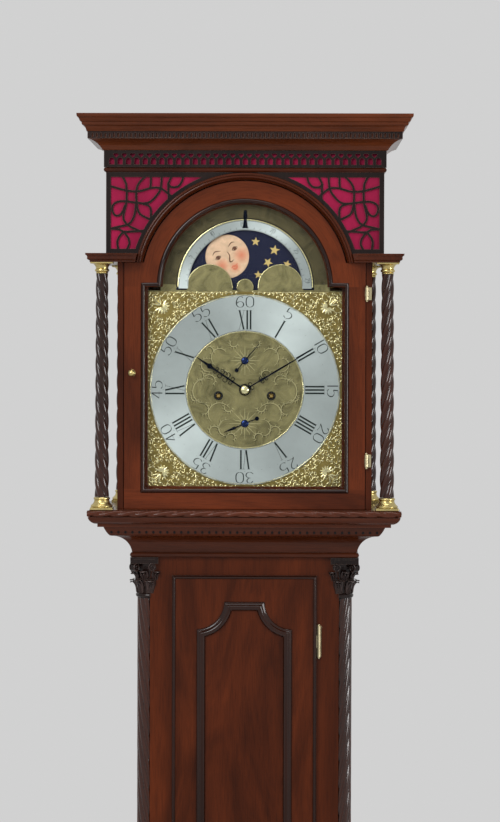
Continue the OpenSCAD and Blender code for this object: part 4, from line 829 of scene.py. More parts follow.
class CLOCK_OT_numerals(bpy.types.Operator):
    """Cuts the hours and minutes into the chapter ring and fills them with black wax"""

    bl_idname = "clock.numerals"
    bl_label = "Numerals"

    def execute(self, context):
        wax = DialDrawing(DIAL_Y, look().numeral_rise, DIAL_CENTRE)
        for hour, name in enumerate(HOUR_NAMES):
            roman(wax, name, hour * 30, HOURS_R, HOURS_H)
        for minute in range(5, 65, 5):
            number(wax, str(minute), minute * 6, MINUTES_R, MINUTES_H, 1.7 * MM, 1.6)
        for minute in range(60):
            long = 1.6 if minute % 5 == 0 else 0.9
            wax.bar(0, 0, long * MM, 0.35 * MM, minute * 6, STROKES_R)
        wax.shape.object("ring_numerals", "case", "silvered", "ink", False)
        lines = DialDrawing(DIAL_Y, 0.08 * MM, DIAL_CENTRE)
        for radius in (98.8, 157.2):
            arc_ribbon(lines, radius * MM, 0, 360, 0.5 * MM)
        lines.shape.object("ring_lines", "case", "silvered", "engraving_dark", False)
        return {"FINISHED"}


def spiral(centre, radius, start, sweep, tighten, steps=22):
    """Points along a C-scroll that winds in from its outer end, in (x, z)."""
    return [polar(centre, radius * (1 - tighten * t), math.radians(start + sweep * t)) for t in shares(steps)]


# The engraved scrolls of one half: centre and radius in millimetres from the dial's centre, start and sweep in
# degrees, and how far they wind in
ENGRAVED_CURLS = [
    ((66, -4), 24, 120, -230, 0.25), ((58, 14), 14, -20, 260, 0.55), ((44, -42), 22, 150, -190, 0.3),
    ((70, -34), 13, 60, 230, 0.55), ((30, -66), 17, 100, -210, 0.45), ((62, 44), 15, -120, 220, 0.5),
    ((40, 56), 18, -60, 200, 0.4), ((22, -80), 9, 0, 240, 0.5), ((76, 22), 9, 100, 220, 0.5),
    ((52, -70), 11, 180, -240, 0.5), ((20, 78), 8, 180, 230, 0.5), ((84, -12), 8, 200, 200, 0.5),
    ((34, 24), 10, 20, 230, 0.5), ((26, -30), 9, 40, -230, 0.5), ((60, 66), 8, 220, -220, 0.5)]


class CLOCK_OT_engraving(bpy.types.Operator):
    """Engraves rays round the seconds and date arbors and leafy scrolls over the dial's matted centre"""

    bl_idname = "clock.engraving"
    bl_label = "Engraving"

    def execute(self, context):
        # The bright lines are real engraving whose pale colour is a painted highlight; the dark copies of the
        # scrolls, set a little outwards and down, are painted shadow, while the dark seconds figures are real
        bright = DialDrawing(PLATE_Y, 0.16 * MM, DIAL_CENTRE)
        dark = DialDrawing(PLATE_Y, 0.12 * MM, DIAL_CENTRE)
        self.rays(bright, SECONDS_CENTRE, 24 * MM)
        self.rays(bright, DATE_CENTRE, 26 * MM)
        for side in (-1, 1):
            self.scrolls(bright, side, 0.85 * MM, 0.0)
            self.scrolls(dark, side, 1.2 * MM, 1.1 * MM)
        dark.centre = SECONDS_CENTRE
        for seconds in (60, 10, 20, 30, 40, 50):
            number(dark, str(seconds), seconds % 60 * 6, SECONDS_R, 5.2 * MM, 0.7 * MM)
        dark.centre = DIAL_CENTRE
        arc_ribbon(bright, 96.4 * MM, 0, 360, 0.8 * MM)
        bright.shape.object("engraved_lines", "case", "plate_brass", "engraving", False)
        dark.shape.object("engraved_shadows", "case", "plate_brass", "engraving_dark", False)
        return {"FINISHED"}

    def rays(self, drawing, centre, reach):
        """Long straight rays and shorter wavy ones by turns round an arbor."""
        drawing.centre = centre
        foot = 6.5 * MM
        for k in range(16):
            length, bend = (reach * 0.8, (0, 0.6, 0, -0.6, 0)) if k % 2 else (reach, (0,) * 5)
            path = smooth_path([(b * 1.6 * MM, foot + (length - foot) * i / 4) for i, b in enumerate(bend)], 4)
            points = [tuple(drawing.carry(u, v, k * 22.5, 0)) for u, v in path]
            drawing.ribbon(points, [1.1 * MM * (1 - 0.8 * i / len(points)) for i in range(len(points))])
        drawing.centre = DIAL_CENTRE

    def scrolls(self, drawing, side, width, shadow_offset):
        """The scrolls of one half of the centre, each with short leaves along its outer side; the last number moves
        them outwards and down for the painted shadow, and is 0 for the lines themselves.
        """
        for (cx, cz), radius, start, sweep, tighten in ENGRAVED_CURLS:
            points = spiral((cx * MM, cz * MM), radius * MM, start, sweep, tighten)
            placed = [(DIAL_CENTRE[0] + side * (x + shadow_offset), DIAL_CENTRE[1] + z - shadow_offset) for x, z in points]
            shares = [i / (len(placed) - 1) for i in range(len(placed))]
            drawing.ribbon(placed, [width * (0.35 + 0.9 * math.sin(math.pi * t)) for t in shares])
            for x, z in placed[2:21:3]:
                away = Vector((x - DIAL_CENTRE[0] - side * cx * MM, z - DIAL_CENTRE[1] - cz * MM)).normalized()
                leaf = [(x, z), (x + away.x * 2.2 * MM, z + away.y * 2.2 * MM),
                        (x + away.x * 4 * MM + 1.5 * MM * away.y, z + away.y * 4 * MM - 1.5 * MM * away.x)]
                drawing.ribbon(leaf, [width * 0.9, width * 0.7, width * 0.2])


class CLOCK_OT_castings(bpy.types.Operator):
    """Models the gilt corner castings: close scrolls and leaves round a shell, over a darker flat ground"""

    bl_idname = "clock.castings"
    bl_label = "Corner castings"

    def execute(self, context):
        rng = random.Random(11)
        scrolls, ground = Shape(), Shape()
        places = self.scatter(rng)
        for flip_x in (-1, 1):
            for flip_z in (-1, 1):
                rng.seed(5)
                self.casting(scrolls, places, rng, flip_x, flip_z)
                self.ground(ground, flip_x, flip_z)
        piece = scrolls.object("corner_scrolls", "case", slot_of("dial_spandrels"), "gilt")
        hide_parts("dial_spandrels")
        ground.object("corner_grounds", "case", slot_of("dial_spandrels"), "gilt_dark", False)
        return {"FINISHED"}

    def inside(self, u, v, margin):
        """Whether a place lies on a corner casting, at least a margin from its edges."""
        return max(u, v) < PLATE_HALF - margin and math.hypot(u, v) > CASTING_RING_R + margin

    def scatter(self, rng):
        """Places of the scrolls over half of one corner, none nearer than a scroll's width to the next."""
        places = []
        for _ in range(6000):
            u, v = rng.uniform(8 * MM, PLATE_HALF), rng.uniform(8 * MM, PLATE_HALF)
            if v > u or not self.inside(u, v, 1.7 * MM) or math.hypot(u - 134 * MM, v - 134 * MM) < 15 * MM:
                continue
            if all(math.hypot(u - a, v - b) > 5.6 * MM for a, b in places):
                places.append((u, v))
        return places

    def casting(self, shape, places, rng, flip_x, flip_z):
        """The scrolls of one corner, each laid on both sides of the diagonal, with the shell and the rims."""

        def strap(points, width, height):
            x, z = DIAL_CENTRE
            path = [Vector((x + flip_x * u, CASTING_Y, z + flip_z * v)) for u, v in points]
            shape.sweep(path, lambda t: width * (0.5 + 0.6 * math.sin(math.pi * min(1, t * 1.15))), height)

        def pair(points, width, height):
            strap(points, width, height)
            strap([(v, u) for u, v in points], width, height)

        for u, v in places:
            radius = rng.uniform(2.3, 3.3) * MM
            start, way = rng.uniform(0, 360), rng.choice((-1, 1))
            curl = spiral((u, v), radius, start, way * rng.uniform(240, 340), 0.62, 11)
            first = polar(curl[0], rng.uniform(2.5, 4.5) * MM, math.radians(start - way * 50))
            points = ([first] if self.inside(*first, 0.8 * MM) else []) + curl
            pair(points, 2.35 * MM, rng.uniform(1.1, 2.0) * MM)
        shell = [(138 * MM, 12.5 * MM, 225 + (k - 4) * 26, 5 * MM, 2.1 * MM) for k in range(9)]
        shell += [(140 * MM, 16 * MM, 45 + (k - 1) * 32, 4.2 * MM, 2.2 * MM) for k in range(3)]
        for foot, reach, degrees, width, height in shell:
            strap([polar((foot, foot), reach * t, math.radians(degrees)) for t in (0.1, 0.4, 0.7, 1)], width, height)
        edge = PLATE_HALF - 0.9 * MM
        rim = [(edge - 0.7 * MM * (i % 2), (12 + (edge / MM - 12) * i / 40) * MM) for i in range(41)]
        pair(rim, 1.7 * MM, 1.6 * MM)

    def ground(self, shape, flip_x, flip_z):
        """The flat plate under the scrolls of one corner, from the chapter ring to the dial's corner."""
        curve = [(CASTING_RING_R * math.sin(a), CASTING_RING_R * math.cos(a))
                 for a in (math.radians(90 * t) for t in shares(24))]
        outline = curve + [(PLATE_HALF, 0), (PLATE_HALF, PLATE_HALF), (0, PLATE_HALF)]
        points = [(DIAL_CENTRE[0] + flip_x * u, DIAL_CENTRE[1] + flip_z * v) for u, v in outline]
        shape.prism(points, SUNK_Y, CASTING_Y)


# The hands: angle clockwise from twelve, and in millimetres the hub's radius, the blade as (up, width) and the
# scrolls beside it as (across, up, radius)
HANDS = {
    "hour_hand": ("hour_blade", 304, 9.6,
                  [(0, 3.4), (20, 2.2), (28, 3.0), (58, 2.6), (66, 4.4), (71, 10.5), (75, 4.2), (82, 3.4),
                   (100, 0.5)],
                  [(3.8, 27, 3.5), (4.9, 37, 4.6), (4.4, 48, 4.2), (3.3, 58, 3.0)]),
    "minute_hand": ("minute_blade", 59, 7.6, [(0, 3), (24, 1.9), (33, 4.2), (44, 2), (60, 3.2), (137, 0.5)],
                    [(3.6, 13, 3.4), (3.4, 33, 3.1), (2.9, 41, 2.6)])}


class CLOCK_OT_hands(bpy.types.Operator):
    """Replaces the hour and minute hands with finer ones, their blades tapered and their scrolls pierced"""

    bl_idname = "clock.hands"
    bl_label = "Hands"

    def execute(self, context):
        for node, (name, degrees, hub, blade, loops) in HANDS.items():
            self.hand(node, name, degrees, hub, blade, loops)
        return {"FINISHED"}

    def hand(self, node, name, degrees, hub, blade, loops):
        back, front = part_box(node)[1].y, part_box(node)[0].y
        shape = Shape()
        a = math.radians(degrees)
        upward, sideways = Vector((math.sin(a), math.cos(a))), Vector((math.cos(a), -math.sin(a)))

        def at(across, up):
            return tuple(Vector(DIAL_CENTRE) + upward * up * MM + sideways * across * MM)

        outline = [at(-w / 2, up) for up, w in blade] + [at(w / 2, up) for up, w in blade[::-1]]
        shape.prism(outline, back, front, 0.25 * MM)
        shape.prism([at(*polar((0, 0), hub, b)) for b in turns(36)], back + 0.01 * MM, front - 0.05 * MM, 0.4 * MM)
        for across, up, radius in loops:
            for side in (-1, 1):
                curl = spiral((side * across, up), radius, 0 if side < 0 else 180, side * 320, 0.4, 26)
                shape.sweep([Vector((x, back - 0.2 * MM, z)) for x, z in (at(*q) for q in curl)],
                            lambda t: (1.5 - 0.5 * t) * MM, back - front - 0.3 * MM)
        piece = shape.object(name, body_of(node), slot_of(node), "blued", False)
        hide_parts(node)


class CLOCK_OT_fittings(bpy.types.Operator):
    """Adds the bosses of the hands and flat black rings round the winding holes, painted shade that widens the
    holes' dark
    """

    bl_idname = "clock.fittings"
    bl_label = "Bosses and winding holes"

    def execute(self, context):
        self.dome("centre_boss", DIAL_CENTRE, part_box("minute_hand")[0].y, 7.6 * MM, 3.4 * MM, "minute_hand",
                  "rim")
        self.dome("seconds_boss", SECONDS_CENTRE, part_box("seconds_hand")[0].y, 6.2 * MM, 2 * MM, "seconds_hand",
                  "blued_bright")
        self.dome("date_boss", DATE_CENTRE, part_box("date_hand")[0].y, 6.4 * MM, 2 * MM, "date_hand",
                  "blued_bright")
        # A flat black ring round each winding hole: painted shade of the hole
        eyes = Shape()
        for side in (-1, 1):
            eyes.revolve([(4.4 * MM, 0.4 * MM), (4.4 * MM, 0.0), (7.6 * MM, 0.0), (7.7 * MM, 0.4 * MM)],
                         (side * WINDING_X, PLATE_Y - 0.3 * MM, WINDING_Z), 40)
        eyes.object("winding_hole_shade_rings", "case", slot_of("dial_plate"), "black")
        return {"FINISHED"}

    def dome(self, name, centre, y, radius, height, node, material):
        """A round boss on a hand's front."""
        curve = [(radius * math.sin(math.pi / 2 * t), -height * math.cos(math.pi / 2 * t)) for t in shares(8)]
        shape = Shape()
        shape.revolve(curve + [(radius, 0.3 * MM)], (centre[0], y, centre[1]), 40)
        shape.object(name, body_of(node), slot_of(node), material)


class CLOCK_OT_moon(bpy.types.Operator):
    """Paints two moons with round faces and a scatter of gold stars on the blue disc"""

    bl_idname = "clock.moon"
    bl_label = "Moon disc"

    def execute(self, context):
        for name, half in (("moon_face_shown", 1), ("moon_face_hidden", -1)):
            x, z = ARCH_CENTRE[0] + half * MOON_PLACE.x, ARCH_CENTRE[1] + half * MOON_PLACE.y
            self.face(x, z, 120 - 90 * half, name)
        stars = Shape()
        for x, z, r, turn in ((10.4, 45.7, 4.6, 5), (29.4, 37.2, 5.4, 10), (22.9, 24.9, 5, 30),
                              (13, 12.5, 4.2, 0), (42.1, 23.1, 4.4, 15)):
            for half in (1, -1):
                centre = (ARCH_CENTRE[0] + half * x * PX, ARCH_CENTRE[1] + half * z * PX)
                stars.prism(self.star(centre, r * PX, turn + 90 - 90 * half), MOON_Y, MOON_Y - 0.2 * MM)
        stars.object("moon_stars", "moon", "moon_paint", "star", False)
        return {"FINISHED"}

    def star(self, centre, radius, turn):
        """The outline of a star with five points."""
        out = []
        for k in range(10):
            a, r = math.radians(turn + 36 * k), radius if k % 2 == 0 else radius * 0.42
            out.append((centre[0] + r * math.sin(a), centre[1] + r * math.cos(a)))
        return out

    def face(self, x, z, turn, name):
        """A moon's domed face with its features; places on it are shares of its radius from its centre."""
        r = MOON_R
        head = Shape()
        head.revolve([(0.0, -1.5 * MM), (r * 0.5, -1.3 * MM), (r * 0.8, -0.9 * MM), (r * 0.95, -0.5 * MM),
                      (r, -0.15 * MM), (r, 0)], (x, MOON_Y, z), 56)
        cos, sin = math.cos(math.radians(turn)), math.sin(math.radians(turn))
        MATERIALS[name] = self.skin(name, x, z, cos, sin)
        head.object(name, "moon", "moon_paint", name)

        def at(u, v):
            lift = MOON_DOME * max(0.1, 1 - ((u * u + v * v) ** 0.5) ** 2.2) + 0.15 * MM
            du, dv = u * r, v * r
            return Vector((x + du * cos - dv * sin, MOON_Y - lift, z + du * sin + dv * cos))

        def line(shape, points, width, thin, height):
            path = [at(*p) for p in smooth_path(points, 4)]
            shape.sweep(path, lambda t: width * r * (thin + math.sin(math.pi * t)), height)

        features = Shape()
        for side in (-1, 1):
            eye = 0.05 + side * 0.43
            line(features, [(eye - 0.15, 0.13), (eye - 0.02, 0.22), (eye + 0.14, 0.15)], 0.05, 0.35, 0.1 * MM)
            line(features, [(eye - 0.14, 0.12), (eye, 0.08), (eye + 0.13, 0.14)], 0.03, 0.35, 0.1 * MM)
            brow = [(eye - 0.2 - 0.02 * side, 0.36), (eye, 0.46), (eye + 0.22 - 0.02 * side, 0.36)]
            line(features, brow, 0.035, 0.35, 0.1 * MM)
            pupil = [at(*polar((eye, 0.15), 0.075, a)) for a in turns(14)]
            features.add([p + FORWARD * 0.1 * MM for p in pupil], [tuple(range(14))])
        nose = [(0.1, 0.2), (0.12, 0.0), (0.0, -0.24), (0.06, -0.3), (0.19, -0.27)]
        line(features, nose, 0.045, 0.35, 0.1 * MM)
        features.object(name + "_lines", "moon", "moon_paint", "features")
        lips = Shape()
        line(lips, [(-0.1, -0.56), (0.03, -0.52), (0.1, -0.55), (0.26, -0.5)], 0.07, 0.2, 0.15 * MM)
        line(lips, [(-0.06, -0.6), (0.08, -0.68), (0.22, -0.56)], 0.08, 0.2, 0.15 * MM)
        lips.object(name + "_lips", "moon", "moon_paint", "blush")

    def skin(self, name, x, z, cos, sin):
        """The painted skin of one face, red on its cheeks and chin."""
        n = Nodes(name)
        rgb = look().moon_face
        coordinates = n.coordinates()
        tone = n.ramp(n.noise(n.place(), 120, 3), [(0.3, shade(rgb, 0.86)), (0.7, shade(rgb, 1.1))])
        for u, v, reach in ((0.6, -0.27, 0.42), (-0.4, -0.25, 0.38), (0.08, -0.6, 0.3)):
            centre = Vector((x + MOON_R * (u * cos - v * sin), MOON_Y, z + MOON_R * (u * sin + v * cos)))
            away = n.vector_math("DISTANCE", coordinates, centre)
            near = n.joined("ShaderNodeMapRange", "Result", away, reach * MOON_R, 0.0, 0.0, 0.95)
            tone = n.mix(near, tone, (0.75, 0.2, 0.1))
        return n.finish(tone, Roughness=0.45, Coat_Weight=0.3)


class CLOCK_OT_arch(bpy.types.Operator):
    """Lays the silvered strip of the moon's age in the arch, and bright edges on the humps and the rings"""

    bl_idname = "clock.arch"
    bl_label = "Arch of the dial"

    def execute(self, context):
        (inner, outer), foot = STRIP_R, ARCH_CENTRE[1] - 2.5 * MM
        strip = Shape()
        strip.prism([(-outer, foot), *arc(ARCH_CENTRE, outer, -90, 90, 72), (outer, foot), (inner, foot),
                     *arc(ARCH_CENTRE, inner, 90, -90, 72), (-inner, foot)], SUNK_Y, STRIP_Y, 0.1 * MM)
        strip.object("moon_age_strip", "case", "silvered", "silvered", False)
        ticks = DialDrawing(STRIP_Y, 0.08 * MM, ARCH_CENTRE)
        for day in range(30):
            angle = -84 + 168 * day / 29
            ticks.bar(0, 0, 3 * MM, 0.5 * MM, angle, inner + 2 * MM)
            if day % 5 == 4:
                number(ticks, str(min(day + 1, 29)), angle, inner + 6 * MM, 7.5 * MM, 0.7 * MM)
        for radius in (96 * MM, 110 * MM):
            arc_ribbon(ticks, radius, -89, 89, 0.4 * MM)
        ticks.shape.object("moon_age_divisions", "case", "silvered", "ink", False)
        surround = Shape()
        inner, outer = SURROUND_R
        surround.prism(arc(ARCH_CENTRE, outer, -88, 88, 72) + arc(ARCH_CENTRE, inner, 88, -88, 72), SUNK_Y,
                       PLATE_Y - 0.15 * MM)
        surround.object("arch_surround", "case", "plate_brass", "arch", False)
        self.rims()
        return {"FINISHED"}

    def rims(self):
        """Bright edges: a beaded one outside the strip, and plain ones on the humps and on the chapter ring."""
        rims = Shape()

        def rim(centre, radius, end, width, height, y, beads=0):
            start, steps = (0 if end == 360 else -end), max(24, beads * 2)
            path = [clock_point(centre, radius, start + (end - start) * i / steps, y) for i in range(steps + 1)]
            swell = (lambda t: width * (0.7 + 0.45 * abs(math.cos(math.pi * beads * t)) if beads else 1))
            rims.sweep(path, swell, height, closed_ends=end < 360)

        rim(ARCH_CENTRE, STRIP_R[1] + 1.6 * MM, 90, 3 * MM, 1.1 * MM, PLATE_Y, 70)
        for side in (-1, 1):
            rim((side * HUMP_X, ARCH_CENTRE[1]), HUMP_R - 0.5 * MM, 92, 1.2 * MM, 0.5 * MM, PLATE_Y)
        rim(ARCH_CENTRE, 13.2 * MM, 92, 1.1 * MM, 0.5 * MM, PLATE_Y)
        for radius in (158.4 * MM, 97.9 * MM):
            rim(DIAL_CENTRE, radius, 360, 1 * MM, 0.5 * MM, DIAL_Y)
        rims.object("bright_rims", "case", "plate_brass", "rim")


# Trim of the case

GLASS_LAP = 4.5 * MM
SIGHT_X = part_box("hood_door_glass")[1].x - GLASS_LAP
SIGHT_ARCH_R = 139 * MM
SIGHT_ARCH_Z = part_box("hood_door_glass")[1].z - GLASS_LAP - SIGHT_ARCH_R
SIGHT_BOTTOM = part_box("hood_door_glass")[0].z + GLASS_LAP
ROPE_R = 5.2 * MM
ROPE_PERIOD = 30 * MM
# The rope's middle line: behind the front of the hood's base, in from its sides and above its foot
ROPE_BEHIND = 3.4 * MM
ROPE_INSIDE = 3.6 * MM
ROPE_UP = 5.6 * MM
# The row of flat dark spots, painted shade of small holes in the waist moulding; half their width and height in
# millimetres
HOLE_Z = 1.5465
HOLE_PITCH = 11.6 * MM
HOLE_HALVES = (2.1, 3.0)
PANEL_CORNER_R = 46 * MM
CAPITAL_H = 69 * MM


def frame_strip(shape, ring, sharp, profile):
    """A moulding round a ring of (x, z) points with sharp corners; its profile is (outwards, depth)."""
    for first, last in zip(sharp, sharp[1:] + sharp[:1]):
        rows = []
        for d, y in profile:
            moved = [inward(ring, (first + i) % len(ring), -d) for i in range((last - first) % len(ring) + 1)]
            rows.append([(x, y, z) for x, z in moved])
        shape.grid(rows)


def rounded(width, inner, height, y, steps=6):
    """A half-round profile from one distance outwards to another, standing in front of a plane."""
    half = width / 2
    return [(inner + half - half * math.cos(math.pi * k / steps), y - height * math.sin(math.pi * k / steps))
            for k in range(steps + 1)]


class CLOCK_OT_trim(bpy.types.Operator):
    """Runs the doors' small mouldings, carves the nosing under the hood and lays a row of flat dark spots below it
    as the painted shade of small holes
    """

    bl_idname = "clock.trim"
    bl_label = "Trim of the case"

    def execute(self, context):
        self.trunk_door()
        self.sight()
        self.nosing()
        self.holes()
        shape = Shape()
        for side in (-1, 1):
            self.capital(shape, side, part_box("trunk_capitals")[1].z - CAPITAL_H)
        shape.object("capital_leaves", "case", slot_of("trunk_capitals"), "leaves")
        return {"FINISHED"}

    def capital(self, shape, side, bottom):
        """Two rows of curling leaves and four spiral volutes on the corner between two faces of the trunk."""
        low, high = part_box("trunk_quarter_columns")
        foot = Vector((side * (high.x - QUARTER_R), low.y + QUARTER_R, bottom))
        rise = Vector((0, 0, 1))

        def toward(degrees):
            a = math.radians(degrees)
            return Vector((side * math.sin(a), -math.cos(a), 0))

        def at(degrees, radius, z, across=0.0):
            return foot + toward(degrees) * radius * MM + rise * z * MM + toward(degrees + 90) * across * MM

        bell = [(21.5, 0), (22.5, 0.35), (24.5, 0.68), (28, 0.9), (31.5, 0.98), (32.5, 0.88)]
        leaves = [(a, 8, 22, 13) for a in (-2, 45, 92)] + [(a, 20, 26, 12) for a in (-22, 22, 68, 112)]
        for degrees, base, tall, wide in leaves:
            lobe = wide * 0.34
            for across, width, high in ((0, wide, 1.6), (0, 2.6, 3.0), (-lobe, 2.4, 2.3), (lobe, 2.4, 2.3)):
                share = tall * (1 if across == 0 else 0.84)
                path = smooth_path([at(degrees, r, base + t * share, across * (1 - 0.4 * t)) for r, t in bell], 3)
                full = width * MM
                shape.sweep(path, lambda t: full * (0.75 + 0.5 * math.sin(math.pi * t)) * min(1, 2.2 - 1.5 * t),
                            high * MM, toward(degrees))
        level = CAPITAL_H / MM - 17
        for centre, across, out, radius in (
                (at(0, 32, level, -4), 90, 0, 6.6), (at(90, 32, level, 4), 0, 90, 6.6),
                (at(45, 36, level - 0.5, -4.6), 45, -45, 7.4), (at(45, 36, level - 0.5, 4.6), 45, 135, 7.4)):
            curl = spiral((0, 0), radius * MM, 100, -560, 0.82, 34)
            shape.sweep([centre + toward(across) * u + rise * v for u, v in curl], lambda t: (3 - 1.6 * t) * MM,
                        1.7 * MM, toward(out))

    def trunk_door(self):
        low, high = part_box("trunk_door_board")
        ring = [(low.x, low.z), (high.x, low.z), (high.x, high.z), (low.x, high.z)]
        shape = Shape()
        y = low.y + 0.2 * MM
        bead = rounded(5.5 * MM, -6.2 * MM, 3.6 * MM, y) + [(-0.4 * MM, y - 0.6 * MM), (-0.4 * MM, y)]
        frame_strip(shape, ring, [0, 1, 2, 3], bead)
        self.panel_ring(shape, y)
        piece = shape.object("trunk_door_trim", "trunk_door", slot_of("trunk_door_mouldings"),
                             "mouldings_upright")
        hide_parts("trunk_door_mouldings")

    def panel_ring(self, shape, y):
        """The shaped panel's moulding: a hollow outside and a round inside, with scooped corners."""
        low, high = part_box("trunk_door_mouldings")
        profile = [(0, 0), (0.3, 2.6), (2, 3.2), (4.2, 4.2), (5.4, 5.8), (7, 7), (9, 7.4), (11.5, 6.6),
                   (13.4, 4.8), (14.6, 2.4), (15, 0)]
        corners = [(high.x, low.z, 90), (high.x, high.z, 180), (low.x, high.z, 270), (low.x, low.z, 0)]
        rows = [[] for _ in range(8)]
        for inset, rise in profile:
            d, radius = inset * MM, PANEL_CORNER_R + inset * MM
            off = math.degrees(math.asin(d / radius))
            scoops = []
            for x, z, start in corners:
                angles = [math.radians(start + off + (90 - 2 * off) * k / 10) for k in range(10, -1, -1)]
                scoops.append([(px, y - rise * MM, pz) for px, pz in (polar((x, z), radius, a) for a in angles)])
            for k in range(4):
                rows[2 * k].append(scoops[k])
                rows[2 * k + 1].append([scoops[k][-1], scoops[(k + 1) % 4][0]])
        for strip in rows:
            shape.grid(strip)

    def sight(self):
        """The half round that frames the door's opening, mitred below and run round the arch above."""
        steps = 48
        ring = [(-SIGHT_X, SIGHT_BOTTOM), (SIGHT_X, SIGHT_BOTTOM), (SIGHT_X, SIGHT_ARCH_Z),
                *arc((0, SIGHT_ARCH_Z), SIGHT_ARCH_R, 90, -90, steps), (-SIGHT_X, SIGHT_ARCH_Z)]
        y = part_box("hood_door_frame")[0].y
        profile = [(0.2 * MM, y + 6.5 * MM), (0.2 * MM, y + 2.6 * MM),
                   *rounded(6.8 * MM, 0.2 * MM, 3.4 * MM, y + 1.6 * MM, 8), (7.2 * MM, y + 0.3 * MM)]
        shape = Shape()
        frame_strip(shape, ring, [0, 1, 2, 3, 3 + steps, 4 + steps], profile)
        shape.object("sight_moulding", "hood_door", slot_of("hood_door_frame"), "mouldings_upright")

    def nosing(self):
        """A carved rope round the hood's base on three sides, its twist turned about at the middle."""
        low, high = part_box("hood_base_frame")
        y, z = low.y + ROPE_BEHIND, low.z + ROPE_UP
        shape = Shape()
        self.rope(shape, Vector((low.x - 0.4 * MM, y, z)), Vector((high.x + 0.4 * MM, y, z)), FORWARD, True)
        for x, out in ((low.x + ROPE_INSIDE, -1), (high.x - ROPE_INSIDE, 1)):
            self.rope(shape, Vector((x, low.y, z)), Vector((x, high.y - 2 * MM, z)), Vector((out, 0, 0)), False)
        shape.object("carved_nosing", "hood", slot_of("hood_base_frame"), "nosing")

    def rope(self, shape, start, end, out, from_middle):
        """The outer side of a rope between two points, its strands carved slantwise."""
        length, along = (end - start).length, (end - start).normalized()
        steps = int(length / (1.1 * MM))
        rows = []
        for i in range(steps + 1):
            s = length * i / steps
            run = abs(s - length / 2) if from_middle else s
            row = []
            for k in range(13):
                a = math.radians(-105 + 210 * k / 12)
                swell = abs(math.sin(math.pi * run / ROPE_PERIOD + a * 1.3)) ** 0.6
                r = ROPE_R * (0.6 + 0.44 * swell)
                row.append(start + along * s + out * r * math.cos(a) + Vector((0, 0, r * math.sin(a))))
            rows.append(row)
        shape.grid(rows)
        for row in (rows[0], rows[-1]):
            shape.add(row, [tuple(range(len(row)))])

    def holes(self):
        """Small flat dark spots in a row below the hood, on the front and the sides of the waist moulding: painted
        shade where small holes would show.
        """
        piece = frame["nodes"]["waist_moulding"]
        low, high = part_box("waist_moulding")
        turned, inverse = piece.matrix_world.to_3x3(), piece.matrix_world.inverted()
        spots = [((i * HOLE_PITCH, low.y - 0.1, HOLE_Z), (0, 1, 0)) for i in range(-21, 22)]
        for side in (-1, 1):
            x = side * (high.x + 0.1)
            spots += [((x, low.y + 0.012 + i * HOLE_PITCH, HOLE_Z), (-side, 0, 0)) for i in range(20)]
        shape = Shape()
        for start, way in spots:
            inward_way = (inverse.to_3x3() @ Vector(way)).normalized()
            hit, place, normal, _ = piece.ray_cast(inverse @ Vector(start), inward_way)
            if not hit:
                continue
            place = piece.matrix_world @ place
            normal = (turned @ normal).normalized()
            if abs(normal.dot(Vector(way))) < 0.1:
                continue
            side = normal.cross(Vector((0, 0, 1))).normalized()
            up = side.cross(normal)
            # Each spot is a flat dark disc just in front of the moulding: painted shade
            middle, (wide, tall) = place + normal * 0.12 * MM, HOLE_HALVES
            shape.add([middle + (side * math.cos(a) * wide + up * math.sin(a) * tall) * MM for a in turns(10)],
                      [tuple(range(10))])
        shape.object("waist_holes", "case", slot_of("waist_moulding"), "hollow", False)


# Stage

# The photograph's camera, fitted to the dial, the hood and the trunk: place in metres, turn in radians
CAMERA_PLACE = (0.0626, -4.8, 1.8668)
CAMERA_TURN = (0.0114, 0.0252, 0.0028)
CAMERA_FOCAL_PX = 2835.6
# Lamps: name, place, target, width and power
LAMPS = [("key", (-1.7, -3.2, 3.4), (0, 0, 1.6), 1.6, 70), ("fill", (3.0, -2.2, 1.7), (0, 0, 1.4), 1.0, 40),
         ("top", (0, -1.0, 4.2), (0, 0, 1.8), 1.4, 20)]


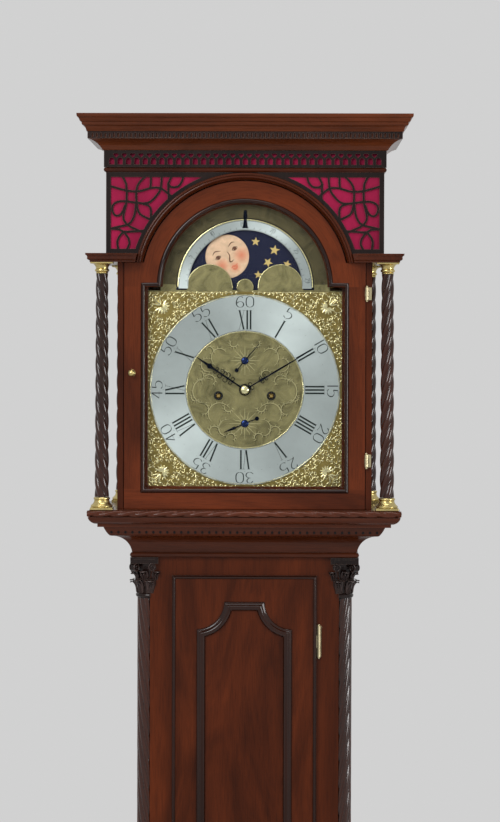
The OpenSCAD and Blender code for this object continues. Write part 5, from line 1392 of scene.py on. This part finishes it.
class CLOCK_OT_stage(bpy.types.Operator):
    """Adds the floor, the lamps, the surroundings and the camera at the photograph's place"""

    bl_idname = "clock.stage"
    bl_label = "Stage"

    def execute(self, context):
        scene = context.scene
        backdrop = look().backdrop
        scene.world = bpy.data.worlds.new("Surroundings")
        scene.world.use_nodes = True
        scene.world.node_tree.nodes["Background"].inputs["Color"].default_value = (*backdrop, 1)
        floor = bpy.data.meshes.new("floor")
        floor.from_pydata([(-6, -9, 0), (6, -9, 0), (6, 6, 0), (-6, 6, 0)], [], [(0, 1, 2, 3)])
        floor.materials.append(plain("floor", backdrop, 0.8))
        floor_object = self.put("floor", floor)
        for name, place, target, width, power in LAMPS:
            lamp = bpy.data.lights.new(name, "AREA")
            lamp.size = width
            lamp.energy = power
            lamp_object = self.put(name, lamp)
            lamp_object.location = place
            lamp_object.rotation_euler = (Vector(target) - Vector(place)).to_track_quat("-Z", "Y").to_euler()
        camera = bpy.data.cameras.new("camera")
        camera.lens = CAMERA_FOCAL_PX * camera.sensor_width / max(PHOTO_SIZE)
        scene.camera = self.put("camera", camera)
        yaw, pitch, roll = CAMERA_TURN
        turned = (Matrix.Rotation(yaw, 4, "Z") @ Matrix.Rotation(math.pi / 2 - pitch, 4, "X")
                  @ Matrix.Rotation(roll, 4, "Z"))
        scene.camera.matrix_world = Matrix.Translation(CAMERA_PLACE) @ turned
        scene.view_settings.view_transform = "Standard"
        return {"FINISHED"}

    def put(self, name, data):
        """An object of the given data, linked to the scene."""
        obj = bpy.data.objects.new(name, data)
        bpy.context.scene.collection.objects.link(obj)
        return obj


# Add-on

OPERATORS = [CLOCK_OT_paint_solids, CLOCK_OT_columns, CLOCK_OT_trim, CLOCK_OT_castings, CLOCK_OT_numerals,
             CLOCK_OT_engraving, CLOCK_OT_hands, CLOCK_OT_fittings, CLOCK_OT_moon, CLOCK_OT_arch, CLOCK_OT_stage]


class CLOCK_PT_panel(bpy.types.Panel):
    bl_label = "Longcase clock"
    bl_idname = "CLOCK_PT_panel"
    bl_space_type = "VIEW_3D"
    bl_region_type = "UI"
    bl_category = "Clock"

    def draw(self, context):
        column = self.layout.column()
        for name in ClockLook.__annotations__:
            column.prop(context.scene.clock_look, name)
        for operator in OPERATORS:
            column.operator(operator.bl_idname)


CLASSES = [ClockLook, *OPERATORS, CLOCK_PT_panel]


def register():
    for cls in CLASSES:
        bpy.utils.register_class(cls)
    bpy.types.Scene.clock_look = PointerProperty(type=ClockLook)


def unregister():
    del bpy.types.Scene.clock_look
    for cls in reversed(CLASSES):
        bpy.utils.unregister_class(cls)


def main():
    register()
    for operator in OPERATORS:
        group, name = operator.bl_idname.split(".")
        getattr(getattr(bpy.ops, group), name)()


if __name__ == "__main__":
    main()
